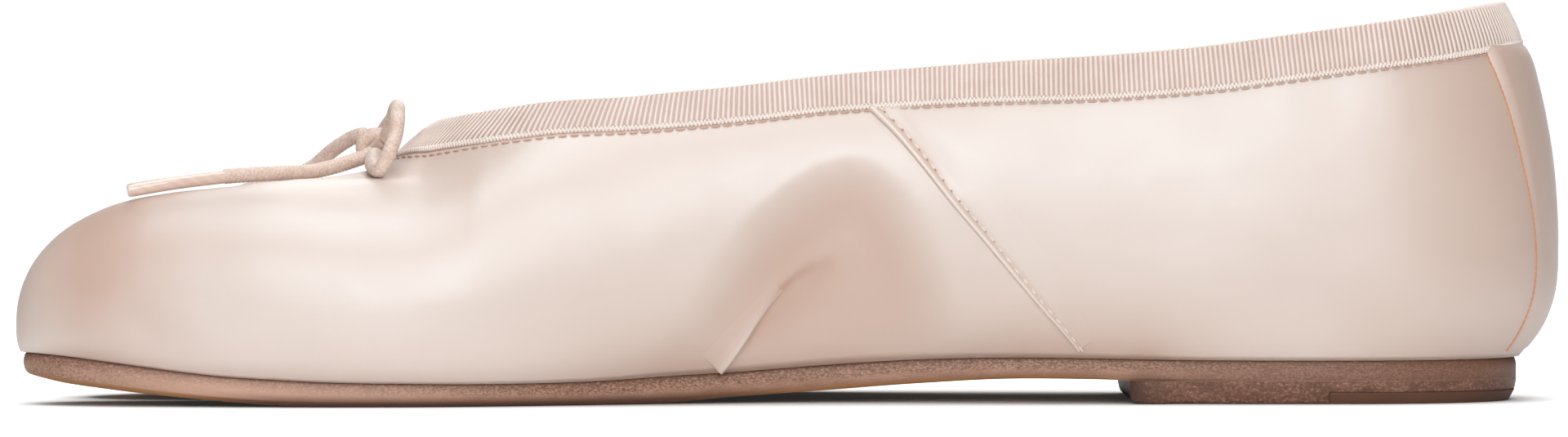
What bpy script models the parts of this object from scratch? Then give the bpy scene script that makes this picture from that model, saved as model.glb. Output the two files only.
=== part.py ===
"""Tabi ballet flat for the right foot: a split-toe satin flat with a drawcord bow.

+X runs from the toe to the heel, the foot's inner (medial) side faces -Y, and the floor is at Z = 0.
The origin is on the floor under the middle of the shoe. All tables are in millimetres.
"""

import math

import bmesh
import bpy
import numpy as np
from mathutils import Vector
from mathutils.bvhtree import BVHTree

MM = 0.001
GAP = 0.3  # between neighbouring pieces

# The last, from toe to heel
WEB_X = -84.0  # where the split between the toes ends
THROAT_X = -60.0  # front of the opening
THROAT_ARC = 20.0  # length of the opening's rounded front
HEEL_CENTRE_X = 88.0  # the round of the heel turns about this point
MEDIAL, LATERAL = -1, 1

# Upper, binding, sole and heel
WALL = 1.6  # satin, stiffener and lining together
RIBBON_WIDTH = 7.0  # each face of the folded binding
RIBBON = 0.6
SOLE_MARGIN = 0.3
SOLE_TUCK = 0.8  # drawn in under the upper at the toe tips and the back
INSOLE = 2.0
HEEL_BREAST_X = 52.5
HEEL_BREAST_LEAN = 2.2
HEEL_TOP_INSET = 0.3  # from the sole's edge
HEEL_FLOOR_INSET = 1.2
TIP_FRONT_X = 88.0
TIP_HEIGHT = 1.7

# Drawcord
CORD = 2.3
AGLET = 2.1

MATERIALS = {
    "satin": ((0.83, 0.66, 0.57), 0.38),
    "grosgrain": ((0.70, 0.56, 0.49), 0.80),
    "leather": ((0.27, 0.16, 0.11), 0.55),
    "lining": ((0.72, 0.58, 0.48), 0.60),
    "rubber": ((0.10, 0.06, 0.04), 0.70),
    "cord": ((0.68, 0.51, 0.43), 0.85),
    "film": ((0.72, 0.54, 0.45), 0.30),
}


def table(names, *rows):
    """Named columns, with a row for each cross-section."""
    return dict(zip(names.split(), np.array(rows, float).T))


# Distance of the upper's foot from the middle plane, how far the wall swells beyond it, the height where
# it is widest, and how square the arch above that is (2 is an ellipse).
MEDIAL_WALL = table(
    "x foot swell wide_z full",
    (-103, 35.2, 3.4, 13.0, 2.15),
    (-94, 36.5, 3.6, 13.0, 2.2),
    (-84, 37.6, 3.9, 13.0, 2.3),
    (-74, 38.1, 4.1, 13.0, 2.3),
    (-66, 38.0, 4.2, 13.2, 2.3),
    (-58, 37.2, 4.3, 13.8, 2.25),
    (-50, 35.3, 4.8, 15.0, 2.2),
    (-40, 31.9, 5.8, 18.0, 2.1),
    (-25, 26.1, 8.0, 23.5, 2.0),
    (-10, 21.5, 9.6, 29.0, 2.0),
    (5, 19.3, 10.3, 32.0, 2.0),
    (20, 19.3, 9.8, 32.0, 2.0),
    (35, 20.9, 8.3, 30.0, 2.0),
    (50, 23.0, 6.5, 28.0, 2.0),
    (65, 24.6, 5.2, 26.0, 2.0),
    (80, 25.2, 4.6, 25.5, 2.0),
    (88, 25.1, 4.5, 25.5, 2.0),
)
LATERAL_WALL = table(
    "x foot swell wide_z full",
    (-97, 27.7, 3.2, 12.5, 2.15),
    (-90, 30.3, 3.4, 12.5, 2.2),
    (-84, 32.3, 3.5, 12.5, 2.2),
    (-74, 34.8, 3.7, 13.0, 2.2),
    (-66, 36.4, 3.8, 13.0, 2.2),
    (-58, 37.4, 3.9, 13.5, 2.2),
    (-50, 38.0, 4.0, 14.0, 2.2),
    (-40, 38.1, 4.1, 14.5, 2.1),
    (-25, 36.7, 4.2, 15.5, 2.1),
    (-10, 33.9, 4.2, 16.5, 2.0),
    (5, 31.1, 4.2, 18.0, 2.0),
    (20, 28.8, 4.2, 19.5, 2.0),
    (35, 27.2, 4.2, 21.0, 2.0),
    (50, 26.2, 4.2, 22.5, 2.0),
    (65, 25.7, 4.3, 24.0, 2.0),
    (80, 25.3, 4.4, 25.0, 2.0),
    (88, 25.1, 4.5, 25.5, 2.0),
)

# Ridges of the two toe lobes, and the groove between them, until they run together at the throat.
VAMP = table(
    "x groove_y medial_y medial_z lateral_y lateral_z",
    (-103, -8.9, -22.6, 33.4, 6.0, 29.6),
    (-97, -8.9, -22.4, 34.3, 7.0, 30.5),
    (-90, -8.9, -21.9, 35.0, 8.2, 31.9),
    (-84, -8.8, -20.6, 35.6, 8.6, 33.4),
    (-78, -8.0, -17.6, 36.2, 7.2, 34.9),
    (-72, -6.3, -12.8, 36.9, 3.8, 36.4),
    (-66, -4.2, -7.3, 38.1, -0.6, 37.9),
    (-60, -2.6, -2.6, 39.8, -2.6, 39.8),
)
SPLIT_GAP = 3.0
SPLIT_TAPER = 20.0  # the gap closes over this length
SPLIT_FOOT = 0.3  # how far the wall in the split turns in at the sole

# Edge of the opening: its half-widths from the middle plane and its height, before its front is lifted.
TOPLINE = table(
    "x axis_y medial lateral z lateral_drop",
    (-60, -2.6, 18.5, 13.5, 39.8, 0.0),
    (-50, -2.0, 20.6, 17.6, 43.5, 0.2),
    (-40, -1.5, 21.9, 21.4, 46.6, 0.6),
    (-25, -0.7, 22.3, 25.4, 48.9, 1.2),
    (-10, -0.2, 21.5, 27.4, 50.4, 1.8),
    (5, 0.0, 20.6, 27.9, 52.2, 2.2),
    (20, 0.0, 20.5, 27.5, 53.5, 2.4),
    (35, 0.0, 21.6, 26.6, 54.6, 2.4),
    (50, 0.0, 23.2, 25.6, 55.5, 2.2),
    (65, 0.0, 24.2, 24.8, 56.8, 1.6),
    (80, 0.0, 24.2, 24.2, 58.8, 0.8),
    (88, 0.0, 23.8, 23.8, 59.9, 0.4),
    (100, 0.0, 23.8, 23.8, 61.6, 0.1),
    (117, 0.0, 23.8, 23.8, 64.4, 0.0),
)
THROAT_LIFT = 4.8  # the drawcord pulls the front of the opening up
THROAT_LIFT_LENGTH = 36.0
THROAT_LIFT_REACH = 8.0

# Line between upper and sole, and underside of the sole, seen from the side.
SOLE_LINE = table(
    "x top bottom",
    (-125, 8.5, 5.3),
    (-121, 8.3, 4.5),
    (-117, 8.0, 3.7),
    (-111, 7.3, 2.9),
    (-104, 6.4, 2.1),
    (-97, 5.5, 1.4),
    (-90, 4.8, 0.8),
    (-83, 4.4, 0.3),
    (-75, 4.0, 0.0),
    (-60, 3.7, 0.0),
    (-44, 3.6, 0.0),
    (-30, 3.9, 0.0),
    (-20, 4.5, 0.25),
    (-10, 5.0, 1.0),
    (5, 6.1, 2.0),
    (20, 7.0, 3.1),
    (35, 7.35, 3.9),
    (47, 7.3, 3.9),
    (60, 7.1, 3.7),
    (84, 7.0, 3.7),
    (100, 7.0, 3.7),
    (119, 7.1, 3.7),
)

# Rounds at the ends: where each turns, and how far it reaches at its widest and at its foot.
TOE_ROUNDS = {MEDIAL: (-103.0, 22.0, 21.3), LATERAL: (-97.0, 21.5, 20.8)}
TOE_WIDE_Z = 12.8
TOE_SQUARE = 2.3
TOE_FULL = 2.3
GROOVE_FULL = 2.3
HEEL_ROUND = (37.0, 30.8, 27.9)  # widest, foot and topline
HEEL_WIDE_Z = 24.5
HEEL_SQUARE = 2.15

FAN_STEPS = 7
LOW_STEPS = 3
ARCH_STEPS = 8
LOW_ROUND = 2.8  # how round the wall turns in to the sole
GROOVE_END_X = -63.0
GROOVE_ROUND = 1.4
TOE_STATIONS = (-103, -97, -93, -89, -86)
GROOVE_STATIONS = (-84, -83.9, -83.4, -82.4, -80.5, -78, -75, -71, -67, -63.5, -61.2)
THROAT_ANGLES = (0, 18, 34, 50, 70)
WAIST_STATIONS = (-38, -28, -18, -8, 2, 12, 22, 32, 44, 56, 68, 79)


def along(columns, name, x):
    """A column's value at x, on a smooth curve through its rows."""
    xs, ys = columns["x"], columns[name]
    slopes = np.gradient(ys, xs)
    k = int(np.clip(np.searchsorted(xs, x) - 1, 0, len(xs) - 2))
    step = xs[k + 1] - xs[k]
    t = min(max((x - xs[k]) / step, 0.0), 1.0)
    blend = t * t * (3 - 2 * t)
    ease = t * (1 - t) ** 2 * slopes[k] - t * t * (1 - t) * slopes[k + 1]
    return ys[k] + (ys[k + 1] - ys[k]) * blend + ease * step


def slope(function, x):
    """How much a function of x grows towards +X."""
    return (function(x + 0.5) - function(x)) / 0.5


def squared(angle, power):
    """Point at an angle on a rounded square, which is a circle at a power of 2."""
    c, s = max(math.cos(angle), 0.0), max(math.sin(angle), 0.0)
    size = (c**power + s**power) ** (1 / power)
    return c / size, s / size


def wall_of(side):
    return MEDIAL_WALL if side == MEDIAL else LATERAL_WALL


def side_name(side):
    return "medial" if side == MEDIAL else "lateral"


def foot_z(x):
    return along(SOLE_LINE, "top", x)


def section(foot, wide, apex, wide_z, apex_z, full, cut=0.0, lean=0.0, groove_z=None, fade=0.0, bend=0.0):
    """Points from the sole up the wall and over the arch to its apex, or to where the topline cuts it.

    foot, wide and apex are points in plan. Towards a groove the arch sinks by less as it fades.
    """
    base = foot_z(foot[0])
    points = []
    for k in range(LOW_STEPS):
        h = k / LOW_STEPS
        plan = foot + (wide - foot) * (1 - (1 - h) ** LOW_ROUND)
        points.append((*plan, base + (wide_z - base) * h))
    cut_angle = math.atan2((1 - cut**full) ** (1 / full), cut)
    reach = float(np.linalg.norm(wide - apex))
    for k in range(ARCH_STEPS + 1):
        c, s = squared(cut_angle * k / ARCH_STEPS, full)
        away = reach * c
        if bend:
            short = math.hypot(reach, bend) - bend
            q = short * (1 - c)
            away = reach - math.sqrt(q * q + 2 * q * bend)
        plan = apex + (wide - apex) * (away / max(reach, 1e-9))
        if fade:
            s = (1 - ((1 - fade) * c) ** full) ** (1 / full)
        top = apex_z if groove_z is None else apex_z + (groove_z - apex_z) * c * c
        z = wide_z + (top - wide_z) * s + lean * (plan[0] - apex[0]) * s
        points.append((*plan, z))
    return np.array(points)


def round_plan(angle, reach, half_width, square):
    """How far forward and sideways a rounded end reaches at an angle from its tip."""
    forward, sideways = squared(angle, square)
    return reach * forward, half_width * sideways


def ridge(side, x):
    name = side_name(side)
    return along(VAMP, name + "_y", x), along(VAMP, name + "_z", x)


def outer_wall(side, x):
    """Foot and widest line of the outer wall in plan."""
    wall = wall_of(side)
    foot = along(wall, "foot", x)
    return side * foot, side * (foot + along(wall, "swell", x))


def inner_wall(side, x):
    """Foot and widest line of the wall inside the split, in plan."""
    opened = min(1.0, max(0.0, WEB_X - x) / SPLIT_TAPER) ** 0.8
    y = along(VAMP, "groove_y", x) + side * SPLIT_GAP * opened / 2
    return y + side * SPLIT_FOOT * opened, y


def toe_round(side, lines, wide_z, full, groove_z=None):
    """Sections round the tip of a toe lobe, from its tip to its side."""
    centre_x, wide_reach, foot_reach = TOE_ROUNDS[side]
    ridge_y, ridge_z = ridge(side, centre_x)
    apex = np.array([centre_x, ridge_y])
    lean = slope(lambda x: ridge(side, x)[1], centre_x)
    found = []
    for k in range(FAN_STEPS - 1):
        angle = math.pi / 2 * k / (FAN_STEPS - 1)
        plans = []
        for reach, y, line in (
            (foot_reach, lines(side, centre_x)[0], 0),
            (wide_reach, lines(side, centre_x)[1], 1),
        ):
            half = y - ridge_y
            taper = slope(lambda x: abs(lines(side, x)[line] - ridge_y), centre_x)
            forward, sideways = round_plan(angle, reach, half, TOE_SQUARE)
            sideways -= taper * forward * sideways / abs(half)
            plans.append(np.array([centre_x - forward, ridge_y + sideways]))
        turn = math.sin(angle) ** 2
        height = TOE_WIDE_Z + (wide_z - TOE_WIDE_Z) * turn
        low = None if groove_z is None else ridge_z + (groove_z - ridge_z) * turn
        fullness = TOE_FULL + (full - TOE_FULL) * turn
        found.append(section(*plans, apex, height, ridge_z, fullness, lean=lean, groove_z=low))
    return found


def edge_height(side, x):
    """Height of the opening's edge, which dips on the lateral side to clear the ankle."""
    drop = along(TOPLINE, "lateral_drop", x) if side == LATERAL else 0.0
    return along(TOPLINE, "z", x) - drop


def arch_top(wide_z, reach, edge, edge_z, full):
    """Height that the arch would reach if the opening did not cut it, and the place of the cut."""
    cut = edge / reach
    return wide_z + (edge_z - wide_z) / (1 - cut**full) ** (1 / full), cut


def throat_half_width(side, x):
    """From the opening's axis to its edge."""
    half = abs(side * along(TOPLINE, side_name(side), x) - along(TOPLINE, "axis_y", x))
    behind = max(0.0, THROAT_X + THROAT_ARC - x) / THROAT_ARC
    return half * math.sqrt(max(0.0, 1 - behind * behind))


def stations_behind_web():
    """X of each section from the end of the split to the round of the heel."""
    throat = [
        THROAT_X + THROAT_ARC * (1 - math.cos(math.radians(angle))) for angle in THROAT_ANGLES
    ]
    return [*GROOVE_STATIONS, *throat, *WAIST_STATIONS, HEEL_CENTRE_X]


def outer_sections(side):
    """Sections of the outer wall from the tip of the toe to the middle of the heel."""
    wall = wall_of(side)
    start = TOE_ROUNDS[side][0]
    found = toe_round(side, outer_wall, wall["wide_z"][0], wall["full"][0])
    for x in [*(x for x in TOE_STATIONS if x >= start), *stations_behind_web()]:
        foot, wide = (np.array([x, y]) for y in outer_wall(side, x))
        wide_z, full = along(wall, "wide_z", x), along(wall, "full", x)
        if x <= THROAT_X:
            apex_y, apex_z = ridge(side, x)
            found.append(section(foot, wide, np.array([x, apex_y]), wide_z, apex_z, full))
            continue
        apex = np.array([x, along(TOPLINE, "axis_y", x)])
        reach = abs(wide[1] - apex[1])
        apex_z, cut = arch_top(wide_z, reach, throat_half_width(side, x), edge_height(side, x), full)
        found.append(section(foot, wide, apex, wide_z, apex_z, full, cut=cut))
    centre = np.array([HEEL_CENTRE_X, 0.0])
    wide_reach, foot_reach, top_reach = HEEL_ROUND
    foot_half, wide_half = (abs(y) for y in outer_wall(side, HEEL_CENTRE_X))
    top_half = along(TOPLINE, side_name(side), HEEL_CENTRE_X)
    for k in range(1, FAN_STEPS):
        angle = math.pi / 2 * (1 - k / (FAN_STEPS - 1))
        turn = math.cos(angle) ** 2
        plans = [
            centre + np.array(round_plan(angle, reach, side * half, HEEL_SQUARE))
            for reach, half in ((foot_reach, foot_half), (wide_reach, wide_half), (top_reach, top_half))
        ]
        wide_z = wall["wide_z"][-1] + (HEEL_WIDE_Z - wall["wide_z"][-1]) * turn
        reach, edge = (float(np.linalg.norm(p - centre)) for p in plans[1:])
        apex_z, cut = arch_top(wide_z, reach, edge, edge_height(side, plans[2][0]), 2.0)
        foot = centre + (plans[1] - centre) * np.linalg.norm(plans[0] - centre) / reach
        found.append(section(foot, plans[1], centre, wide_z, apex_z, 2.0, cut=cut))
    return found


def inner_sections(side):
    """Sections of a lobe's inner wall from the tip of the toe to the web, and of the groove behind it."""
    start = TOE_ROUNDS[side][0]

    def groove_z(x):
        return (ridge(MEDIAL, x)[1] + ridge(LATERAL, x)[1]) / 2

    lobe = toe_round(side, inner_wall, TOE_WIDE_Z, GROOVE_FULL, groove_z(start))
    groove = []
    for x in [*(x for x in TOE_STATIONS if x >= start), *GROOVE_STATIONS, THROAT_X]:
        foot, wide = (np.array([x, y]) for y in inner_wall(side, x))
        apex_y, apex_z = ridge(side, x)
        fade = min(1.0, max(0.0, (x - WEB_X) / (GROOVE_END_X - WEB_X)))
        bend = GROOVE_ROUND * min(1.0, fade * 8)
        rows = section(
            foot, wide, np.array([x, apex_y]), TOE_WIDE_Z, apex_z, GROOVE_FULL,
            groove_z=groove_z(x), fade=fade, bend=bend,
        )
        (lobe if x <= WEB_X else groove).append(rows)
    return lobe, [lobe[-1][LOW_STEPS:], *(rows[LOW_STEPS:] for rows in groove)]


def topline():
    """Edge of the opening as a closed line from its front along the medial side, round the heel and back."""
    front = FAN_STEPS - 1
    lines = []
    for side in (MEDIAL, LATERAL):
        sections = outer_sections(side)
        first = next(k for k, rows in enumerate(sections) if k > front and rows[-1][0] >= THROAT_X - 1e-6)
        lines.append(np.array([rows[-1] for rows in sections[first:]]))
    return np.vstack([lines[0], lines[1][-2:0:-1]])


def lift_throat(points, edge):
    """Raises the skin near the front of the opening, most at its edge."""
    lifted = points.copy()
    for k, point in enumerate(points):
        away = np.linalg.norm(edge - point, axis=1)
        nearest = int(away.argmin())
        along_edge = min(1.0, (edge[nearest][0] - THROAT_X) / THROAT_LIFT_LENGTH)
        if away[nearest] < THROAT_LIFT_REACH and along_edge < 1:
            near = (1 - away[nearest] / THROAT_LIFT_REACH) ** 2
            lifted[k][2] += THROAT_LIFT * (1 - along_edge) ** 1.6 * near
    return lifted


def fine_line(points, step=0.5):
    """The same line with a point every step."""
    found = [points[0]]
    for a, b in zip(points[:-1], points[1:]):
        count = max(1, int(np.linalg.norm(b - a) / step))
        found.extend(a + (b - a) * (k + 1) / count for k in range(count))
    return np.array(found)


def finish(name, bm, material, smooth_angle=40):
    """Turns a bmesh in millimetres into a named object in metres."""
    bmesh.ops.recalc_face_normals(bm, faces=bm.faces)
    bmesh.ops.scale(bm, vec=(MM, MM, MM), verts=bm.verts)
    mesh = bpy.data.meshes.new(name)
    bm.to_mesh(mesh)
    bm.free()
    mesh.shade_smooth()
    mesh.set_sharp_from_angle(angle=math.radians(smooth_angle))
    thing = bpy.data.objects.new(name, mesh)
    bpy.context.collection.objects.link(thing)
    mesh.materials.append(material_of(material))
    return thing


def material_of(name):
    found = bpy.data.materials.get(name)
    if found:
        return found
    colour, roughness = MATERIALS[name]
    found = bpy.data.materials.new(name)
    found.use_nodes = True
    shader = found.node_tree.nodes["Principled BSDF"]
    shader.inputs["Base Color"].default_value = (*colour, 1)
    shader.inputs["Roughness"].default_value = roughness
    return found


def grid_faces(bm, rows):
    """Quads between neighbouring rows of points."""
    verts = [[bm.verts.new(p) for p in row] for row in rows]
    for a, b in zip(verts[:-1], verts[1:]):
        for k in range(len(a) - 1):
            bm.faces.new((a[k], a[k + 1], b[k + 1], b[k]))


def skin():
    """The upper's outer skin as an open bmesh, in millimetres, with its faces pointing out."""
    edge = fine_line(np.vstack([topline(), topline()[:1]]))
    bm = bmesh.new()
    for side in (MEDIAL, LATERAL):
        lobe, groove = inner_sections(side)
        for rows in (outer_sections(side), lobe, groove):
            grid_faces(bm, [lift_throat(row, edge) for row in rows])
    bmesh.ops.remove_doubles(bm, verts=bm.verts, dist=0.002)
    bmesh.ops.dissolve_degenerate(bm, dist=0.001, edges=bm.edges)
    bmesh.ops.recalc_face_normals(bm, faces=bm.faces)
    backmost = max(bm.faces, key=lambda f: f.calc_center_median().x)
    if backmost.normal.x < 0:
        bmesh.ops.reverse_faces(bm, faces=bm.faces)
    return bm


def make_upper():
    upper = finish("upper", skin(), "satin")
    thick = upper.modifiers.new("wall", "SOLIDIFY")
    thick.thickness = WALL * MM
    thick.offset = -1
    thick.use_even_offset = False


def foot_outline(margin, split_margin, tuck=0.0):
    """The upper's foot line in plan, clockwise from the back of the heel, moved out by the margins.

    At the toe tips and at the back, the line is drawn in by the tuck.
    """
    line, margins = [], []
    for side in (MEDIAL, LATERAL):
        outer = [rows[0][:2] for rows in outer_sections(side)]
        inner = [rows[0][:2] for rows in inner_sections(side)[0]]
        half = [(p, margin) for p in outer[:0:-1]] + [(p, split_margin) for p in inner]
        if side == LATERAL:
            half = half[-2:0:-1]
        line.extend(p for p, _ in half)
        margins.extend(m for _, m in half)
    line = np.array(line)
    ahead = np.roll(line, -1, axis=0) - np.roll(line, 1, axis=0)
    outward = np.stack([-ahead[:, 1], ahead[:, 0]], axis=1)
    outward /= np.linalg.norm(outward, axis=1)[:, None]
    web = int(np.abs(line - [WEB_X, along(VAMP, "groove_y", WEB_X)]).sum(axis=1).argmin())
    moved = []
    for k, point in enumerate(line):
        if k == web and split_margin < 0:
            for turn in (-90, -45, 0, 45, 90):
                angle = math.radians(turn)
                moved.append(point - split_margin * np.array([math.cos(angle), math.sin(angle)]))
        else:
            moved.append(point + outward[k] * (margins[k] - tuck * outward[k][0] ** 4))
    return np.array(moved)


def inset(outline, amount):
    """The outline moved in by an amount."""
    ahead = np.roll(outline, -1, axis=0) - np.roll(outline, 1, axis=0)
    outward = np.stack([-ahead[:, 1], ahead[:, 0]], axis=1)
    return outline - amount * outward / np.linalg.norm(outward, axis=1)[:, None]


def plate(rings, top, bottom, cuts):
    """A closed plate: rings of (outline, share of its height), under a top and over a bottom that vary in X."""
    bm = bmesh.new()
    rows = [[bm.verts.new((*p, share)) for p in outline] for outline, share in rings]
    count = len(rows[0])
    for low, high in zip(rows[:-1], rows[1:]):
        for k in range(count):
            bm.faces.new((low[k], high[k], high[(k + 1) % count], low[(k + 1) % count]))
    bm.faces.new(rows[0])
    bm.faces.new(rows[-1][::-1])
    for x in cuts:
        parts = [*bm.verts, *bm.edges, *bm.faces]
        bmesh.ops.bisect_plane(bm, geom=parts, dist=1e-4, plane_co=(x, 0, 0), plane_no=(1, 0, 0))
    for v in bm.verts:
        low, high = bottom(v.co.x), top(v.co.x)
        v.co.z = low + (high - low) * v.co.z
    return bm


def sole_top(x):
    return foot_z(x) - GAP


def sole_bottom(x):
    return max(0.0, along(SOLE_LINE, "bottom", x))


SOLE_CUTS = (-121, -117, -114, -111, -107, -103, -97, -90, -83, -75, -60, -44, -30, -20, -10, 0, 10, 20, 30, 47, 60)


def make_outsole():
    outline = foot_outline(SOLE_MARGIN, 0.0, SOLE_TUCK)
    rings = [(inset(outline, 0.6), 0.0), (outline, 0.25), (outline, 1.0)]
    finish("outsole", plate(rings, sole_top, sole_bottom, SOLE_CUTS), "leather")


def make_insole():
    edge = -(WALL + 2 * GAP)
    outline = foot_outline(edge, edge)
    rings = [(outline, 0.0), (outline, 1.0)]
    bm = plate(rings, lambda x: foot_z(x) + INSOLE, lambda x: foot_z(x) + GAP / 2, SOLE_CUTS)
    finish("insole", bm, "lining")


def heel_outline(front, margin, kept_from):
    """The sole's outline from a straight front to the back of the heel."""
    outline = foot_outline(margin, 0.0, SOLE_TUCK)
    kept = [p for p in outline if p[0] > kept_from]
    half = np.interp(front, *zip(*sorted((p[0], p[1]) for p in outline if p[1] > 0)))
    turn = next(k for k in range(len(kept) - 1) if kept[k][1] < 0 < kept[k + 1][1])
    corners = [np.array([front, -half]), np.array([front, half])]
    return np.array([*kept[: turn + 1], *corners, *kept[turn + 1 :]])


def box_cutter(name, low, high):
    """A hidden box that a Boolean cuts with."""
    bm = bmesh.new()
    bmesh.ops.create_cube(bm, size=1)
    for v in bm.verts:
        v.co = Vector(np.where(np.array(v.co) < 0, low, high))
    box = finish(name, bm, "rubber")
    box.hide_render = True
    box.display_type = "WIRE"
    return box


def make_heel():
    """The lift with its leaning breast, and the rubber tip let into its back."""
    low = heel_outline(HEEL_BREAST_X + HEEL_BREAST_LEAN, SOLE_MARGIN - HEEL_FLOOR_INSET, 60)
    high = heel_outline(HEEL_BREAST_X, SOLE_MARGIN - HEEL_TOP_INSET, 60)
    bm = plate([(low, 0.0), (high, 1.0)], lambda x: sole_bottom(x) - GAP, lambda x: 0.0, (60.0,))
    lift = finish("heel_lift", bm, "leather")
    notch = box_cutter("tip_notch", (TIP_FRONT_X - GAP, -50, -5), (140, 50, TIP_HEIGHT + GAP))
    cut = lift.modifiers.new("notch", "BOOLEAN")
    cut.operation = "DIFFERENCE"
    cut.object = notch
    rise = TIP_HEIGHT / (sole_bottom(TIP_FRONT_X) - GAP)
    tip_inset = HEEL_FLOOR_INSET + (HEEL_TOP_INSET - HEEL_FLOOR_INSET) * rise
    low = heel_outline(TIP_FRONT_X, SOLE_MARGIN - HEEL_FLOOR_INSET, 89)
    high = heel_outline(TIP_FRONT_X, SOLE_MARGIN - tip_inset, 89)
    finish("heel_tip", plate([(low, 0.0), (high, 1.0)], lambda x: TIP_HEIGHT, lambda x: 0.0, ()), "rubber")


def walk(tree, start, tangent, distances, step=0.8):
    """Points and normals on the skin at each distance from its edge, straight away from the opening."""
    point, normal, _, _ = tree.find_nearest(Vector(start))
    heading = Vector(tangent).cross(normal).normalized()
    found, gone = [], 0.0
    for distance in distances:
        while gone < distance - 1e-6:
            stride = min(step, distance - gone)
            ahead, normal, _, _ = tree.find_nearest(point + heading * stride)
            heading = (ahead - point).normalized()
            heading = (heading - normal * heading.dot(normal)).normalized()
            point = ahead
            gone += stride
        found.append((np.array(point), np.array(normal), np.array(heading)))
    return found


def make_binding():
    """Ribbon folded over the topline: an outer and an inner face joined by a rounded fold."""
    bm = skin()
    tree = BVHTree.FromBMesh(bm)
    bm.free()
    raw = topline()
    edge = lift_throat(raw, fine_line(np.vstack([raw, raw[:1]])))
    tangents = np.roll(edge, -1, axis=0) - np.roll(edge, 1, axis=0)
    tangents /= np.linalg.norm(tangents, axis=1)[:, None]
    clear = GAP + 0.05
    rows = []
    for point, tangent in zip(edge, tangents):
        levels = walk(tree, point, tangent, (0.4, RIBBON_WIDTH / 2, RIBBON_WIDTH))
        top, normal, heading = levels[0]
        top = point
        faces = [(p, n) for p, n, _ in levels]
        faces[0] = (point, normal)
        middle = top - normal * WALL / 2
        outer = [p + n * (clear + RIBBON) for p, n in faces[::-1]]
        inner = [p - n * (WALL + clear + RIBBON) for p, n in faces]
        inner_back = [p - n * (WALL + clear) for p, n in faces[::-1]]
        outer_back = [p + n * clear for p, n in faces]
        fold = [middle - heading * (clear + RIBBON)]
        under_fold = [middle - heading * clear]
        rows.append([*outer, *fold, *inner, *inner_back, *under_fold, *outer_back])
    bm = bmesh.new()
    verts = [[bm.verts.new(p) for p in row] for row in rows]
    for a, b in zip(verts, verts[1:] + verts[:1]):
        for k in range(len(a)):
            n = (k + 1) % len(a)
            bm.faces.new((a[k], a[n], b[n], b[k]))
    finish("topline_binding", bm, "grosgrain")


def smooth_route(points, spacing):
    """Points every so often along a smooth curve through a route's points."""
    points = np.array(points, float)
    steps = np.linalg.norm(np.diff(points, axis=0), axis=1) ** 0.5
    knots = np.concatenate([[0], np.cumsum(steps)])
    slopes = np.gradient(points, knots, axis=0)
    fine = []
    for k in range(len(points) - 1):
        width = knots[k + 1] - knots[k]
        for t in np.linspace(0, 1, 40, endpoint=False):
            blend = t * t * (3 - 2 * t)
            ease = (t * (1 - t) ** 2 * slopes[k] - t * t * (1 - t) * slopes[k + 1]) * width
            fine.append(points[k] * (1 - blend) + points[k + 1] * blend + ease)
    fine = np.array([*fine, points[-1]])
    length = np.concatenate([[0], np.cumsum(np.linalg.norm(np.diff(fine, axis=0), axis=1))])
    count = max(2, round(length[-1] / spacing) + 1)
    at = np.linspace(0, length[-1], count)
    return np.stack([np.interp(at, length, fine[:, axis]) for axis in range(3)], axis=1)


def cord(name, route, diameter, spacing, material):
    """A round cord along a route, in its own curve object."""
    points = smooth_route(route, spacing) * MM
    curve = bpy.data.curves.new(name, "CURVE")
    curve.dimensions = "3D"
    curve.bevel_depth = diameter / 2 * MM
    curve.bevel_resolution = 2
    curve.use_fill_caps = True
    spline = curve.splines.new("POLY")
    spline.points.add(len(points) - 1)
    for point, place in zip(spline.points, points):
        point.co = (*place, 1)
    thing = bpy.data.objects.new(name, curve)
    bpy.context.collection.objects.link(thing)
    curve.materials.append(material_of(material))


# The bow: routes of its loops and ends from the knot outwards.
KNOT_CENTRE = (-68.2, -2.8, 41.2)
KNOT_SIZE = (5.4, 6.6, 5.0)
BOW_LOOPS = {
    "bow_loop_medial": (
        (-66.3, -7.0, 42.6), (-65.2, -9.4, 45.4), (-64.4, -12.8, 47.6), (-64.2, -16.6, 47.0),
        (-65.2, -19.8, 43.6), (-66.6, -20.8, 40.4), (-67.6, -18.8, 38.9), (-68.2, -14.2, 39.4),
        (-68.1, -10.0, 39.8), (-67.9, -7.6, 39.9),
    ),
    "bow_loop_lateral": (
        (-66.2, 1.4, 42.5), (-65.6, 4.4, 44.4), (-65.6, 9.0, 45.8), (-66.8, 13.2, 45.0),
        (-68.6, 15.6, 42.2), (-69.6, 15.4, 39.2), (-69.6, 12.0, 38.6), (-68.9, 7.0, 39.1),
        (-68.1, 3.6, 39.8), (-67.8, 1.9, 40.0),
    ),
}
BOW_ENDS = {
    "bow_end_medial": (
        (-71.6, -5.6, 39.3), (-74.4, -8.6, 38.1), (-78.5, -12.4, 37.2), (-84.0, -16.4, 37.0),
        (-90.8, -19.9, 36.6),
    ),
    "bow_end_lateral": (
        (-70.2, 0.6, 43.3), (-72.4, 2.4, 42.6), (-75.6, 5.0, 40.6), (-79.4, 7.6, 37.6),
        (-85.0, 9.4, 35.1), (-90.0, 10.2, 34.0),
    ),
}
AGLETS = {
    "aglet_medial": ((-91.6, -20.2, 36.5), (-99.0, -23.0, 35.6), (-106.8, -25.2, 34.3)),
    "aglet_lateral": ((-90.6, 10.2, 33.8), (-98.0, 10.8, 32.4), (-105.8, 11.2, 30.6)),
}


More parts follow.
